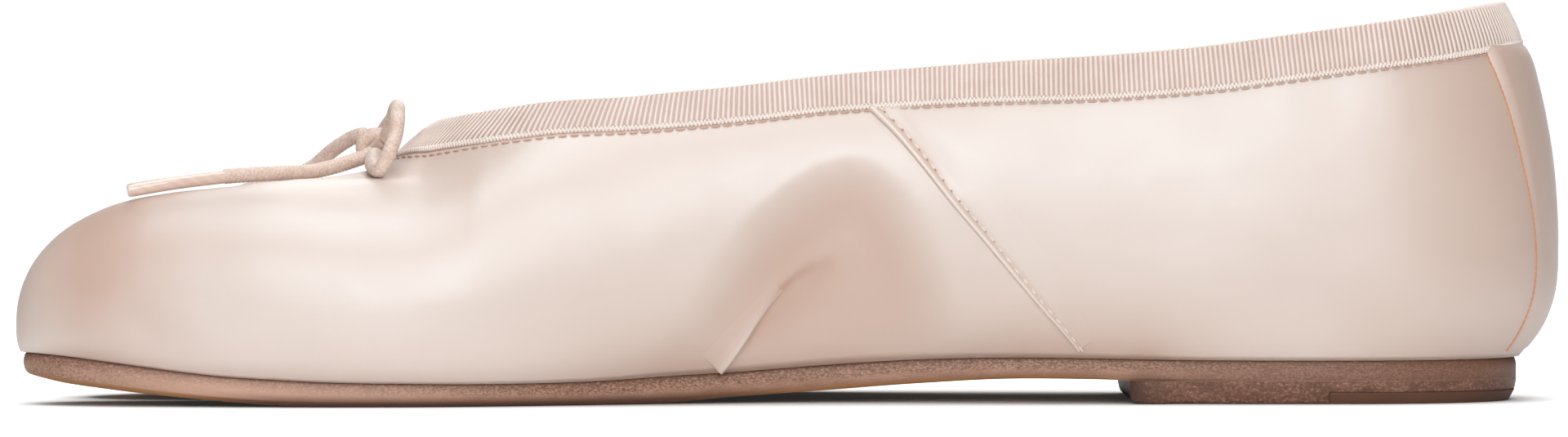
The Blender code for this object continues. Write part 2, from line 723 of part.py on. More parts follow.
def make_bow():
    bm = bmesh.new()
    bmesh.ops.create_icosphere(bm, subdivisions=2, radius=0.5)
    for v in bm.verts:
        v.co = Vector(np.array(KNOT_CENTRE) + np.array(v.co) * KNOT_SIZE)
    finish("bow_knot", bm, "cord")
    for name, route in {**BOW_LOOPS, **BOW_ENDS}.items():
        cord(name, route, CORD, 2 * CORD, "cord")
    for name, route in AGLETS.items():
        cord(name, route, AGLET, 4 * AGLET, "film")


def clear_scene():
    for thing in list(bpy.data.objects):
        bpy.data.objects.remove(thing)


clear_scene()
make_outsole()
make_heel()
make_insole()
make_upper()
make_binding()
make_bow()
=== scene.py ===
"""Looks of a split-toe satin ballet flat for the right foot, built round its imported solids.

Sizes are in millimetres in the shoe's own frame, +X from toe to heel, the inner side of the foot
towards -Y and the floor at Z = 0. Meshes are turned to metres as they are made.
"""

import math

import bmesh
import bpy
import numpy as np
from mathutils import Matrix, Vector, noise
from mathutils.bvhtree import BVHTree


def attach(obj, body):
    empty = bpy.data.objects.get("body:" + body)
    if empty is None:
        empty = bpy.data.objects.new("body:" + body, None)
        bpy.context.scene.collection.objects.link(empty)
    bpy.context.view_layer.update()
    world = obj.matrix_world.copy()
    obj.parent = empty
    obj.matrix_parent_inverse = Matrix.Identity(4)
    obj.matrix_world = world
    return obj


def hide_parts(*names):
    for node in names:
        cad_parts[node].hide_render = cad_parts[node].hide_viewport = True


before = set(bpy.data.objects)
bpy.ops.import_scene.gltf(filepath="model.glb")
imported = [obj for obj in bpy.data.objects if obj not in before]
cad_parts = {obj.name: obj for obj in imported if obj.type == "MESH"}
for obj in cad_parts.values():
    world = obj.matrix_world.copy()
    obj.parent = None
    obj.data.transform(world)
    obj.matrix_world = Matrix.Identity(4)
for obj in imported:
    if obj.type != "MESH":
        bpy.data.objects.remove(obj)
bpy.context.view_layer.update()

# ---------------------------------------------------------------- outsole
# A thin leather sole, cut to the outline of the two-toed last, its edge rounded, burnished brown and
# waxed. The underside is paler, with the grain rubbed where the shoe treads.

MM = 0.001
WEB_X = -84.0  # end of the split between the toes
THROAT_X = -60.0  # front of the opening
THROAT_ARC = 20.0
HEEL_CENTRE_X = 88.0
MEDIAL, LATERAL = -1, 1
GAP = 0.3


def table(names, *rows):
    """Named columns, with a row for each cross-section."""
    return dict(zip(names.split(), np.array(rows, float).T))


MEDIAL_WALL = table(
    "x foot swell wide_z full",
    (-103, 35.2, 3.4, 13.0, 2.15),
    (-94, 36.5, 3.6, 13.0, 2.2),
    (-84, 37.6, 3.9, 13.0, 2.3),
    (-74, 38.1, 4.1, 13.0, 2.3),
    (-66, 38.0, 4.2, 13.2, 2.3),
    (-58, 37.2, 4.3, 13.8, 2.25),
    (-50, 35.3, 4.8, 15.0, 2.2),
    (-40, 31.9, 5.8, 18.0, 2.1),
    (-25, 26.1, 8.0, 23.5, 2.0),
    (-10, 21.5, 9.6, 29.0, 2.0),
    (5, 19.3, 10.3, 32.0, 2.0),
    (20, 19.3, 9.8, 32.0, 2.0),
    (35, 20.9, 8.3, 30.0, 2.0),
    (50, 23.0, 6.5, 28.0, 2.0),
    (65, 24.6, 5.2, 26.0, 2.0),
    (80, 25.2, 4.6, 25.5, 2.0),
    (88, 25.1, 4.5, 25.5, 2.0),
)
LATERAL_WALL = table(
    "x foot swell wide_z full",
    (-97, 27.7, 3.2, 12.5, 2.15),
    (-90, 30.3, 3.4, 12.5, 2.2),
    (-84, 32.3, 3.5, 12.5, 2.2),
    (-74, 34.8, 3.7, 13.0, 2.2),
    (-66, 36.4, 3.8, 13.0, 2.2),
    (-58, 37.4, 3.9, 13.5, 2.2),
    (-50, 38.0, 4.0, 14.0, 2.2),
    (-40, 38.1, 4.1, 14.5, 2.1),
    (-25, 36.7, 4.2, 15.5, 2.1),
    (-10, 33.9, 4.2, 16.5, 2.0),
    (5, 31.1, 4.2, 18.0, 2.0),
    (20, 28.8, 4.2, 19.5, 2.0),
    (35, 27.2, 4.2, 21.0, 2.0),
    (50, 26.2, 4.2, 22.5, 2.0),
    (65, 25.7, 4.3, 24.0, 2.0),
    (80, 25.3, 4.4, 25.0, 2.0),
    (88, 25.1, 4.5, 25.5, 2.0),
)
VAMP = table(
    "x groove_y medial_y medial_z lateral_y lateral_z",
    (-103, -8.9, -22.6, 33.4, 6.0, 29.6),
    (-97, -8.9, -22.4, 34.3, 7.0, 30.5),
    (-90, -8.9, -21.9, 35.0, 8.2, 31.9),
    (-84, -8.8, -20.6, 35.6, 8.6, 33.4),
    (-78, -8.0, -17.6, 36.2, 7.2, 34.9),
    (-72, -6.3, -12.8, 36.9, 3.8, 36.4),
    (-66, -4.2, -7.3, 38.1, -0.6, 37.9),
    (-60, -2.6, -2.6, 39.8, -2.6, 39.8),
)
TOPLINE = table(
    "x axis_y medial lateral z lateral_drop",
    (-60, -2.6, 18.5, 13.5, 39.8, 0.0),
    (-50, -2.0, 20.6, 17.6, 43.5, 0.2),
    (-40, -1.5, 21.9, 21.4, 46.6, 0.6),
    (-25, -0.7, 22.3, 25.4, 48.9, 1.2),
    (-10, -0.2, 21.5, 27.4, 50.4, 1.8),
    (5, 0.0, 20.6, 27.9, 52.2, 2.2),
    (20, 0.0, 20.5, 27.5, 53.5, 2.4),
    (35, 0.0, 21.6, 26.6, 54.6, 2.4),
    (50, 0.0, 23.2, 25.6, 55.5, 2.2),
    (65, 0.0, 24.2, 24.8, 56.8, 1.6),
    (80, 0.0, 24.2, 24.2, 58.8, 0.8),
    (88, 0.0, 23.8, 23.8, 59.9, 0.4),
    (100, 0.0, 23.8, 23.8, 61.6, 0.1),
    (117, 0.0, 23.8, 23.8, 64.4, 0.0),
)
SOLE_LINE = table(
    "x top bottom",
    (-125, 8.5, 5.3),
    (-121, 8.3, 4.5),
    (-117, 8.0, 3.7),
    (-111, 7.3, 2.9),
    (-104, 6.4, 2.1),
    (-97, 5.5, 1.4),
    (-90, 4.8, 0.8),
    (-83, 4.4, 0.3),
    (-75, 4.0, 0.0),
    (-60, 3.7, 0.0),
    (-44, 3.6, 0.0),
    (-30, 3.9, 0.0),
    (-20, 4.5, 0.25),
    (-10, 5.0, 1.0),
    (5, 6.1, 2.0),
    (20, 7.0, 3.1),
    (35, 7.35, 3.9),
    (47, 7.3, 3.9),
    (60, 7.1, 3.7),
    (84, 7.0, 3.7),
    (100, 7.0, 3.7),
    (119, 7.1, 3.7),
)
SPLIT_GAP, SPLIT_TAPER, SPLIT_FOOT = 3.0, 20.0, 0.3
THROAT_LIFT, THROAT_LIFT_LENGTH, THROAT_LIFT_REACH = 4.8, 36.0, 8.0
THROAT_DIP, THROAT_DIP_LENGTH = 1.1, 1.8  # the knot presses its very front down again
TOE_ROUNDS = {MEDIAL: (-103.0, 22.0, 21.3), LATERAL: (-97.0, 21.5, 20.8)}
TOE_WIDE_Z, TOE_SQUARE, TOE_FULL = 12.8, 2.3, 2.3
GROOVE_FULL, GROOVE_END_X, GROOVE_ROUND = 2.3, -63.0, 1.4
HEEL_ROUND, HEEL_WIDE_Z, HEEL_SQUARE = (37.0, 30.8, 27.9), 24.5, 2.15
LOW_ROUND = 2.8
RISE, ARCH, TOE_TURN, HEEL_TURN = 26, 37, 30, 44  # lengths of skin up the wall, over the arch and round
WAIST_FROM_X, WAIST_TO_X, WAIST_FINE = -19, 8, 0.45


def along(columns, name, x):
    """A column's value at x, on a smooth curve through its rows."""
    xs, ys = columns["x"], columns[name]
    slopes = np.gradient(ys, xs)
    k = int(np.clip(np.searchsorted(xs, x) - 1, 0, len(xs) - 2))
    step = xs[k + 1] - xs[k]
    t = min(max((x - xs[k]) / step, 0.0), 1.0)
    blend = t * t * (3 - 2 * t)
    ease = t * (1 - t) ** 2 * slopes[k] - t * t * (1 - t) * slopes[k + 1]
    return ys[k] + (ys[k + 1] - ys[k]) * blend + ease * step


def slope(function, x):
    return (function(x + 0.5) - function(x)) / 0.5


def squared(angle, power):
    """Point at an angle on a rounded square, which is a circle at a power of 2."""
    c, s = max(math.cos(angle), 0.0), max(math.sin(angle), 0.0)
    size = (c**power + s**power) ** (1 / power)
    return c / size, s / size


def wall_of(side):
    return MEDIAL_WALL if side == MEDIAL else LATERAL_WALL


def side_name(side):
    return "medial" if side == MEDIAL else "lateral"


def foot_z(x):
    return along(SOLE_LINE, "top", x)


def section(
    steps, foot, wide, apex, wide_z, apex_z, full, cut=0.0, lean=0.0, groove_z=None, fade=0.0, bend=0.0
):
    """Points from the sole up the wall and over the arch to its apex, or to where the topline cuts it."""
    low_steps, arch_steps = steps
    base = foot_z(foot[0])
    points = []
    for k in range(low_steps):
        h = k / low_steps
        plan = foot + (wide - foot) * (1 - (1 - h) ** LOW_ROUND)
        points.append((*plan, base + (wide_z - base) * h))
    cut_angle = math.atan2((1 - cut**full) ** (1 / full), cut)
    reach = float(np.linalg.norm(wide - apex))
    for k in range(arch_steps + 1):
        c, s = squared(cut_angle * k / arch_steps, full)
        away = reach * c
        if bend:
            short = math.hypot(reach, bend) - bend
            q = short * (1 - c)
            away = reach - math.sqrt(q * q + 2 * q * bend)
        plan = apex + (wide - apex) * (away / max(reach, 1e-9))
        if fade:
            s = (1 - ((1 - fade) * c) ** full) ** (1 / full)
        top = apex_z if groove_z is None else apex_z + (groove_z - apex_z) * c * c
        points.append((*plan, wide_z + (top - wide_z) * s + lean * (plan[0] - apex[0]) * s))
    return np.array(points)


def ridge(side, x):
    name = side_name(side)
    return along(VAMP, name + "_y", x), along(VAMP, name + "_z", x)


def outer_wall(side, x):
    """Foot and widest line of the outer wall in plan."""
    foot = along(wall_of(side), "foot", x)
    return side * foot, side * (foot + along(wall_of(side), "swell", x))


def inner_wall(side, x):
    """Foot and widest line of the wall inside the split, in plan."""
    opened = min(1.0, max(0.0, WEB_X - x) / SPLIT_TAPER) ** 0.8
    y = along(VAMP, "groove_y", x) + side * SPLIT_GAP * opened / 2
    return y + side * SPLIT_FOOT * opened, y


def toe_round(steps, fan, side, lines, wide_z, full, groove_z=None):
    """Sections round the tip of a toe lobe, from its tip to its side."""
    centre_x, wide_reach, foot_reach = TOE_ROUNDS[side]
    ridge_y, ridge_z = ridge(side, centre_x)
    apex = np.array([centre_x, ridge_y])
    lean = slope(lambda x: ridge(side, x)[1], centre_x)
    found = []
    for k in range(fan):
        angle = math.pi / 2 * k / fan
        plans = []
        for line, reach in ((0, foot_reach), (1, wide_reach)):
            half = lines(side, centre_x)[line] - ridge_y
            taper = slope(lambda x: abs(lines(side, x)[line] - ridge_y), centre_x)
            forward, sideways = squared(angle, TOE_SQUARE)
            forward, sideways = reach * forward, half * sideways
            sideways -= taper * forward * sideways / abs(half)
            plans.append(np.array([centre_x - forward, ridge_y + sideways]))
        turn = math.sin(angle) ** 2
        height = TOE_WIDE_Z + (wide_z - TOE_WIDE_Z) * turn
        low = None if groove_z is None else ridge_z + (groove_z - ridge_z) * turn
        fullness = TOE_FULL + (full - TOE_FULL) * turn
        found.append(section(steps, *plans, apex, height, ridge_z, fullness, lean=lean, groove_z=low))
    return found


def edge_height(side, x):
    """Height of the opening's edge, which dips on the lateral side to clear the ankle."""
    drop = along(TOPLINE, "lateral_drop", x) if side == LATERAL else 0.0
    return along(TOPLINE, "z", x) - drop


def arch_top(wide_z, reach, edge, edge_z, full):
    cut = edge / reach
    return wide_z + (edge_z - wide_z) / (1 - cut**full) ** (1 / full), cut


def throat_half_width(side, x):
    half = abs(side * along(TOPLINE, side_name(side), x) - along(TOPLINE, "axis_y", x))
    behind = max(0.0, THROAT_X + THROAT_ARC - x) / THROAT_ARC
    return half * math.sqrt(max(0.0, 1 - behind * behind))


def spread(start, end, step):
    """Even places from start up to, but not at, end."""
    count = max(1, round((end - start) / step))
    return [start + (end - start) * k / count for k in range(count)]


def stations(side, pitch):
    """X of the sections from the toe lobe's centre to the web, on to the throat, and on to the heel."""
    lobe = spread(TOE_ROUNDS[side][0], WEB_X - 0.6, pitch) + spread(WEB_X - 0.6, WEB_X, pitch / 4)
    groove = spread(WEB_X, WEB_X + 2, pitch / 5) + spread(WEB_X + 2, THROAT_X, pitch)
    turns = [math.pi / 2 * k / round(20 / pitch) for k in range(round(20 / pitch))]
    throat = [THROAT_X + THROAT_ARC * (1 - math.cos(turn)) for turn in turns]
    waist = spread(THROAT_X + THROAT_ARC, WAIST_FROM_X, pitch)
    waist += spread(WAIST_FROM_X, WAIST_TO_X, pitch * WAIST_FINE)
    return lobe, groove, throat + waist + spread(WAIST_TO_X, HEEL_CENTRE_X, pitch) + [HEEL_CENTRE_X]


def steps_for(pitch):
    """Steps up the wall, over the arch and round a toe, for cells of about a pitch."""
    return (round(RISE / pitch), round(ARCH / pitch)), round(TOE_TURN / pitch)


def outer_sections(side, pitch):
    """Sections of the outer wall from the tip of the toe to the middle of the heel."""
    wall = wall_of(side)
    steps, fan = steps_for(pitch)
    lobe, groove, opened = stations(side, pitch)
    found = toe_round(steps, fan, side, outer_wall, wall["wide_z"][0], wall["full"][0])
    for x in [*lobe, *groove]:
        foot, wide = (np.array([x, y]) for y in outer_wall(side, x))
        apex_y, apex_z = ridge(side, x)
        wide_z, full = along(wall, "wide_z", x), along(wall, "full", x)
        found.append(section(steps, foot, wide, np.array([x, apex_y]), wide_z, apex_z, full))
    front = len(found)
    for x in opened:
        foot, wide = (np.array([x, y]) for y in outer_wall(side, x))
        wide_z, full = along(wall, "wide_z", x), along(wall, "full", x)
        apex = np.array([x, along(TOPLINE, "axis_y", x)])
        reach = abs(wide[1] - apex[1])
        apex_z, cut = arch_top(wide_z, reach, throat_half_width(side, x), edge_height(side, x), full)
        found.append(section(steps, foot, wide, apex, wide_z, apex_z, full, cut=cut))
    centre = np.array([HEEL_CENTRE_X, 0.0])
    wide_reach, foot_reach, top_reach = HEEL_ROUND
    foot_half, wide_half = (abs(y) for y in outer_wall(side, HEEL_CENTRE_X))
    top_half = along(TOPLINE, side_name(side), HEEL_CENTRE_X)
    fan = round(HEEL_TURN / pitch)
    for k in range(1, fan + 1):
        angle = math.pi / 2 * (1 - k / fan)
        turn = math.cos(angle) ** 2
        plans = []
        for reach, half in ((foot_reach, foot_half), (wide_reach, wide_half), (top_reach, top_half)):
            forward, sideways = squared(angle, HEEL_SQUARE)
            plans.append(centre + np.array([reach * forward, side * half * sideways]))
        wide_z = wall["wide_z"][-1] + (HEEL_WIDE_Z - wall["wide_z"][-1]) * turn
        reach, edge = (float(np.linalg.norm(p - centre)) for p in plans[1:])
        apex_z, cut = arch_top(wide_z, reach, edge, edge_height(side, plans[2][0]), 2.0)
        foot = centre + (plans[1] - centre) * np.linalg.norm(plans[0] - centre) / reach
        found.append(section(steps, foot, plans[1], centre, wide_z, apex_z, 2.0, cut=cut))
    return found, front


def groove_height(x):
    return (ridge(MEDIAL, x)[1] + ridge(LATERAL, x)[1]) / 2


def inner_sections(side, pitch):
    """Sections of a lobe's wall in the split, and of the groove that fades out behind it."""
    steps, fan = steps_for(pitch)
    in_lobe, in_groove, _ = stations(side, pitch)
    start = TOE_ROUNDS[side][0]
    lobe = toe_round(steps, fan, side, inner_wall, TOE_WIDE_Z, GROOVE_FULL, groove_height(start))
    groove = []
    for x in [*in_lobe, *in_groove, THROAT_X]:
        foot, wide = (np.array([x, y]) for y in inner_wall(side, x))
        apex_y, apex_z = ridge(side, x)
        fade = min(1.0, max(0.0, (x - WEB_X) / (GROOVE_END_X - WEB_X)))
        rows = section(
            steps, foot, wide, np.array([x, apex_y]), TOE_WIDE_Z, apex_z, GROOVE_FULL,
            groove_z=groove_height(x), fade=fade, bend=GROOVE_ROUND * min(1.0, fade * 8),
        )
        (lobe if x <= WEB_X else groove).append(rows)
    low_steps = steps[0]
    return lobe, [lobe[-1][low_steps:], *(rows[low_steps:] for rows in groove)]


SOLE_MARGIN, SOLE_TUCK = 0.3, 0.8
WALL = 1.6


def square_to(ways):
    """Unit directions a quarter turn from the given flat ones."""
    turned = np.stack([-ways[:, 1], ways[:, 0]], axis=1)
    return turned / np.linalg.norm(turned, axis=1)[:, None]


def foot_outline(margin, split_margin, tuck=0.0, pitch=1.5):
    """The upper's foot line in plan, moved out by the margins and drawn in at the toe tips and the back."""
    line, margins = [], []
    for side in (MEDIAL, LATERAL):
        outer = [rows[0][:2] for rows in outer_sections(side, pitch)[0]]
        inner = [rows[0][:2] for rows in inner_sections(side, pitch)[0]]
        half = [(p, margin) for p in outer[:0:-1]] + [(p, split_margin) for p in inner]
        if side == LATERAL:
            half = half[-2:0:-1]
        line.extend(p for p, _ in half)
        margins.extend(m for _, m in half)
    line, margins = np.array(line), np.array(margins)
    apart = np.linalg.norm(line - np.roll(line, 1, axis=0), axis=1) > 0.2
    line, margins = line[apart], margins[apart]
    outward = square_to(np.roll(line, -1, axis=0) - np.roll(line, 1, axis=0))
    web = int(np.abs(line - [WEB_X, along(VAMP, "groove_y", WEB_X)]).sum(axis=1).argmin())
    moved = []
    for k, point in enumerate(line):
        if k == web and split_margin < 0:
            for turn in range(-90, 91, 30):
                angle = math.radians(turn)
                moved.append(point - split_margin * np.array([math.cos(angle), math.sin(angle)]))
        else:
            moved.append(point + outward[k] * (margins[k] - tuck * outward[k][0] ** 4))
    return np.array(moved)


def inset(outline, amount):
    return outline - amount * square_to(np.roll(outline, -1, axis=0) - np.roll(outline, 1, axis=0))


def plate(rings, top, bottom, cut_every):
    """A closed plate through rings of (outline, share of its height), cut across so that it can curve."""
    bm = bmesh.new()
    rows = [[bm.verts.new((*p, share)) for p in outline] for outline, share in rings]
    count = len(rows[0])
    for low, high in zip(rows[:-1], rows[1:]):
        for k in range(count):
            bm.faces.new((low[k], high[k], high[(k + 1) % count], low[(k + 1) % count]))
    caps = [bm.faces.new(rows[0]), bm.faces.new(rows[-1][::-1])]
    low_x, high_x = min(v.co.x for v in rows[0]), max(v.co.x for v in rows[0])
    for x in spread(low_x, high_x, cut_every)[1:]:
        across = [e for f in caps for e in f.edges]
        parts = list(dict.fromkeys([*caps, *across, *(v for e in across for v in e.verts)]))
        cut = bmesh.ops.bisect_plane(bm, geom=parts, dist=1e-4, plane_co=(x, 0, 0), plane_no=(1, 0, 0))
        halves = [*caps, *(g for g in cut["geom"] if isinstance(g, bmesh.types.BMFace))]
        halves = dict.fromkeys(f for f in halves if f.is_valid)
        caps = [f for f in halves if f.calc_center_median().x > x]
    share = bm.verts.layers.float.new("share")
    for v in bm.verts:
        v[share] = v.co.z
        low, high = bottom(v.co.x), top(v.co.x)
        v.co.z = low + (high - low) * v.co.z
    return bm


def piece(name, bm, material, smooth_angle=35):
    """Turns a bmesh in millimetres into a piece in metres."""
    bmesh.ops.recalc_face_normals(bm, faces=bm.faces)
    bmesh.ops.scale(bm, vec=(MM, MM, MM), verts=bm.verts)
    mesh = bpy.data.meshes.new(name)
    bm.to_mesh(mesh)
    bm.free()
    mesh.shade_smooth()
    mesh.set_sharp_from_angle(angle=math.radians(smooth_angle))
    thing = bpy.data.objects.new(name, mesh)
    bpy.context.collection.objects.link(thing)
    mesh.materials.append(material)
    return thing


def declare(thing, slot, *nodes):
    """The piece rides on the shoe and stands for its solids, which it hides. The slot is not used."""
    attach(thing, "root")
    if nodes:
        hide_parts(*nodes)


class Finish:
    """A material under construction: one Principled shader and the nodes that feed it."""

    def __init__(self, name, colour, roughness, **constants):
        self.material = bpy.data.materials.new(name)
        self.material.use_nodes = True
        self.nodes, self.links = self.material.node_tree.nodes, self.material.node_tree.links
        self.shader = self.nodes["Principled BSDF"]
        self.shader.inputs["Base Color"].default_value = (*colour, 1)
        self.shader.inputs["Roughness"].default_value = roughness
        for socket, value in constants.items():
            self.shader.inputs[socket.replace("_", " ")].default_value = value
        self.place = self.nodes.new("ShaderNodeTexCoord").outputs["Object"]

    def stretched(self, scale):
        """Object coordinates with each axis scaled."""
        node = self.nodes.new("ShaderNodeMapping")
        node.inputs["Scale"].default_value = scale
        self.links.new(self.place, node.inputs["Vector"])
        return node.outputs["Vector"]

    def noise(self, size, detail=3.0, roughness=0.5, place=None, seed=0.0):
        """Cloudy noise whose features are about a size in millimetres."""
        node = self.nodes.new("ShaderNodeTexNoise")
        node.noise_dimensions = "4D"
        node.inputs["W"].default_value = seed
        node.inputs["Scale"].default_value = 1000 / size
        node.inputs["Detail"].default_value = detail
        node.inputs["Roughness"].default_value = roughness
        self.links.new(place or self.place, node.inputs["Vector"])
        return node.outputs["Fac"]

    def along_shoe(self):
        """Metres along the shoe plus a half, so that its middle is at 0.5 of a ramp."""
        apart = self.nodes.new("ShaderNodeSeparateXYZ")
        self.links.new(self.place, apart.inputs[0])
        return self.math("ADD", apart.outputs["X"], 0.5)

    def attribute(self, name):
        node = self.nodes.new("ShaderNodeAttribute")
        node.attribute_name = name
        return node.outputs["Fac"]

    def ramp(self, value, *stops):
        """Colours or grey levels at places along a value."""
        node = self.nodes.new("ShaderNodeValToRGB")
        elements = node.color_ramp.elements
        while len(elements) < len(stops):
            elements.new(0.5)
        for element, (place, colour) in zip(elements, stops):
            element.position = place
            level = colour if isinstance(colour, tuple) else (colour,) * 3
            element.color = (*level, 1)
        self.links.new(value, node.inputs["Fac"])
        return node.outputs["Color"]

    def mix(self, share, low, high, blend="MIX"):
        """Low where the share is 0 and high where it is 1; each is a colour or a socket."""
        node = self.nodes.new("ShaderNodeMix")
        node.data_type = "RGBA"
        node.blend_type = blend
        for socket, value in ((node.inputs["Factor"], share), (node.inputs[6], low), (node.inputs[7], high)):
            if isinstance(value, bpy.types.NodeSocket):
                self.links.new(value, socket)
            else:
                socket.default_value = (*value, 1) if isinstance(value, tuple) else value
        return node.outputs[2]

    def math(self, operation, a, b):
        node = self.nodes.new("ShaderNodeMath")
        node.operation = operation
        for socket, value in zip(node.inputs, (a, b)):
            if isinstance(value, bpy.types.NodeSocket):
                self.links.new(value, socket)
            else:
                socket.default_value = value
        return node.outputs[0]

    def colour(self, value):
        self.links.new(value, self.shader.inputs["Base Color"])
        return self

    def gloss(self, value, low, high):
        """Roughness from low to high as a value goes from 0 to 1."""
        node = self.nodes.new("ShaderNodeMapRange")
        node.inputs["To Min"].default_value = low
        node.inputs["To Max"].default_value = high
        self.links.new(value, node.inputs["Value"])
        self.links.new(node.outputs[0], self.shader.inputs["Roughness"])
        return self

    def relief(self, value, height, strength=1.0):
        """Bump of a height in millimetres, laid over any earlier one."""
        node = self.nodes.new("ShaderNodeBump")
        node.inputs["Strength"].default_value = strength
        node.inputs["Distance"].default_value = height * MM
        self.links.new(value, node.inputs["Height"])
        normal = self.shader.inputs["Normal"]
        if normal.is_linked:
            self.links.new(normal.links[0].from_socket, node.inputs["Normal"])
        self.links.new(node.outputs["Normal"], normal)
        return self


EDGE_BROWN, EDGE_LIT, EDGE_LIGHT = (0.235, 0.122, 0.080), (0.44, 0.255, 0.178), (0.50, 0.315, 0.228)
EDGE_DARK, EDGE_CRACKS, EDGE_SHADE = (0.115, 0.042, 0.026), (0.140, 0.064, 0.042), (0.12, 0.050, 0.032)
EDGE_LINE, EDGE_WEAR_AND_HIGHLIGHT, EDGE_BURNISHED = (0.36, 0.17, 0.070), (0.68, 0.43, 0.32), (0.150, 0.062, 0.038)
TREAD_TAN, TREAD_RUBBED = (0.48, 0.28, 0.14), (0.40, 0.235, 0.12)


def sole_leather():
    """Crackled brown edge with a painted highlight on its round, paler round the toe from wear and a painted
    highlight, burnished at the heel and in painted contact shadow where it stands on the floor, over a tan
    underside.
    """
    finish = Finish("sole_leather", EDGE_BROWN, 0.5, Specular_IOR_Level=0.35)
    streaks = finish.noise(2.4, 5, 0.65, finish.stretched((0.35, 1, 1)))
    crackle = finish.noise(0.30, 4, 0.8, finish.stretched((0.6, 1, 1)), seed=3)
    share, along_shoe = finish.attribute("share"), finish.along_shoe()
    # The edge: lit on its round, streaked, and crackled high up, at the very toe and by the heel.
    lit = finish.ramp(share, (0.10, 0.30), (0.36, 1.0), (0.60, 0.75), (0.85, 0.0))
    smooth = finish.mix(lit, EDGE_BROWN, EDGE_LIT)
    smooth = finish.mix(finish.ramp(streaks, (0.35, 0.55), (0.62, 0.0)), smooth, EDGE_BROWN)
    mottled = finish.mix(finish.ramp(crackle, (0.43, 0.8), (0.51, 0.0)), smooth, EDGE_CRACKS)
    mottled = finish.mix(finish.ramp(crackle, (0.53, 0.0), (0.61, 0.8)), mottled, EDGE_LIGHT)
    high_up = finish.ramp(share, (0.38, 0.25), (0.55, 1.0))
    by_heel = finish.ramp(along_shoe, (0.545, 0.0), (0.58, 1.0))
    at_toe = finish.ramp(along_shoe, (0.388, 0.9), (0.405, 0.0))
    worked = finish.math("MAXIMUM", finish.math("MAXIMUM", high_up, by_heel), at_toe)
    mottled = finish.mix(worked, smooth, mottled)
    burnished = finish.ramp(along_shoe, (0.545, 0.0), (0.575, 0.40), (0.61, 0.62))
    mottled = finish.mix(burnished, mottled, EDGE_BURNISHED)
    # Round the toe the edge is paler, partly from wear and partly from a painted highlight.
    round_toe = finish.ramp(along_shoe, (0.383, 0.10), (0.408, 0.78), (0.46, 0.0))
    wear_and_highlight = finish.math("MULTIPLY", round_toe, finish.ramp(share, (0.55, 1.0), (0.9, 0.25)))
    mottled = finish.mix(wear_and_highlight, mottled, EDGE_WEAR_AND_HIGHLIGHT)
    # Dark lines: under the satin, along the foot of the edge, and over the heel. Where the sole stands on the
    # floor, the foot line and the edge above it take painted contact shadow.
    edge = finish.mix(finish.ramp(share, (0.84, 0.0), (0.97, 0.9)), mottled, EDGE_DARK)
    ahead_of_heel = finish.ramp(along_shoe, (0.545, 1.0), (0.56, 0.0))
    line = finish.math("MULTIPLY", finish.ramp(share, (0.13, 1.0), (0.20, 0.0)), ahead_of_heel)
    # Where the sole stands on the floor: the foot line there is painted contact shadow instead of tan.
    floor_contact = finish.ramp(along_shoe, (0.405, 0.0), (0.42, 1.0), (0.475, 1.0), (0.50, 0.0))
    edge = finish.mix(line, edge, finish.mix(floor_contact, EDGE_LINE, EDGE_DARK))
    # Painted contact shade on the lower part of the edge where the sole stands on the floor.
    contact_shade_low = finish.math("MULTIPLY", finish.ramp(share, (0.16, 0.9), (0.45, 0.0)), floor_contact)
    edge = finish.mix(contact_shade_low, edge, EDGE_SHADE)
    over_breast = finish.ramp(along_shoe, (0.552, 0.0), (0.556, 0.9), (0.568, 0.7), (0.578, 0.0))
    joint = finish.math("MULTIPLY", over_breast, finish.ramp(share, (0.04, 1.0), (0.12, 0.0)))
    edge = finish.mix(joint, edge, EDGE_DARK)
    rubbed = finish.noise(14, 4, 0.6, seed=7)
    tread = finish.mix(finish.ramp(rubbed, (0.35, 0.0), (0.7, 1.0)), TREAD_TAN, TREAD_RUBBED)
    finish.colour(finish.mix(finish.ramp(share, (0.0, 1.0), (0.02, 0.0)), edge, tread))
    finish.relief(crackle, 0.05, 0.7).relief(streaks, 0.08, 0.5).gloss(crackle, 0.36, 0.60)
    return finish.material


def sole_top(x):
    return foot_z(x) - 0.05


def sole_bottom(x):
    return max(0.0, along(SOLE_LINE, "bottom", x))


SOLE_LIFT = 0.22  # its top is pressed up against the satin
EDGE_PROFILE = (  # how far in the rounded edge lies, at shares of the sole's thickness
    (1.4, 0.0), (0.75, 0.03), (0.42, 0.10), (0.15, 0.24), (0.0, 0.45), (0.03, 0.65), (0.2, 0.83),
    (0.45, 0.94), (0.9, 1.0),
)
SQUARE_FROM_X, SQUARE_LENGTH = 45, 7  # its lower edge is left square over the heel
outline = foot_outline(SOLE_MARGIN, 0.0, SOLE_TUCK)
over_heel = np.clip((outline[:, :1] - SQUARE_FROM_X) / SQUARE_LENGTH, 0, 1) ** 2
rings = []
for amount, share in EDGE_PROFILE:
    ring = inset(outline, amount)
    rings.append((ring + (outline - ring) * over_heel * (share < 0.5), share))
sole_mesh = plate(rings, lambda x: sole_top(x) + SOLE_LIFT, sole_bottom, 3.0)
outsole = piece("sole", sole_mesh, sole_leather(), 50)
declare(outsole, "leather", "outsole")

# ---------------------------------------------------------------- heel
# A stacked leather lift under the back of the sole, burnished like its edge, with a rubber tip let
# into its back half, where the heel strikes the ground.

HEEL_BREAST_X, HEEL_BREAST_LEAN, HEEL_SIDES_X = 54.1, 0.7, 62
HEEL_TOP_INSET, HEEL_FLOOR_INSET = 0.0, 1.0
HEEL_FLARE, HEEL_FLARE_FRONT = 1.8, 3
TIP_FRONT_X, TIP_SIDES_X, TIP_HEIGHT = 86.2, 89, 1.9


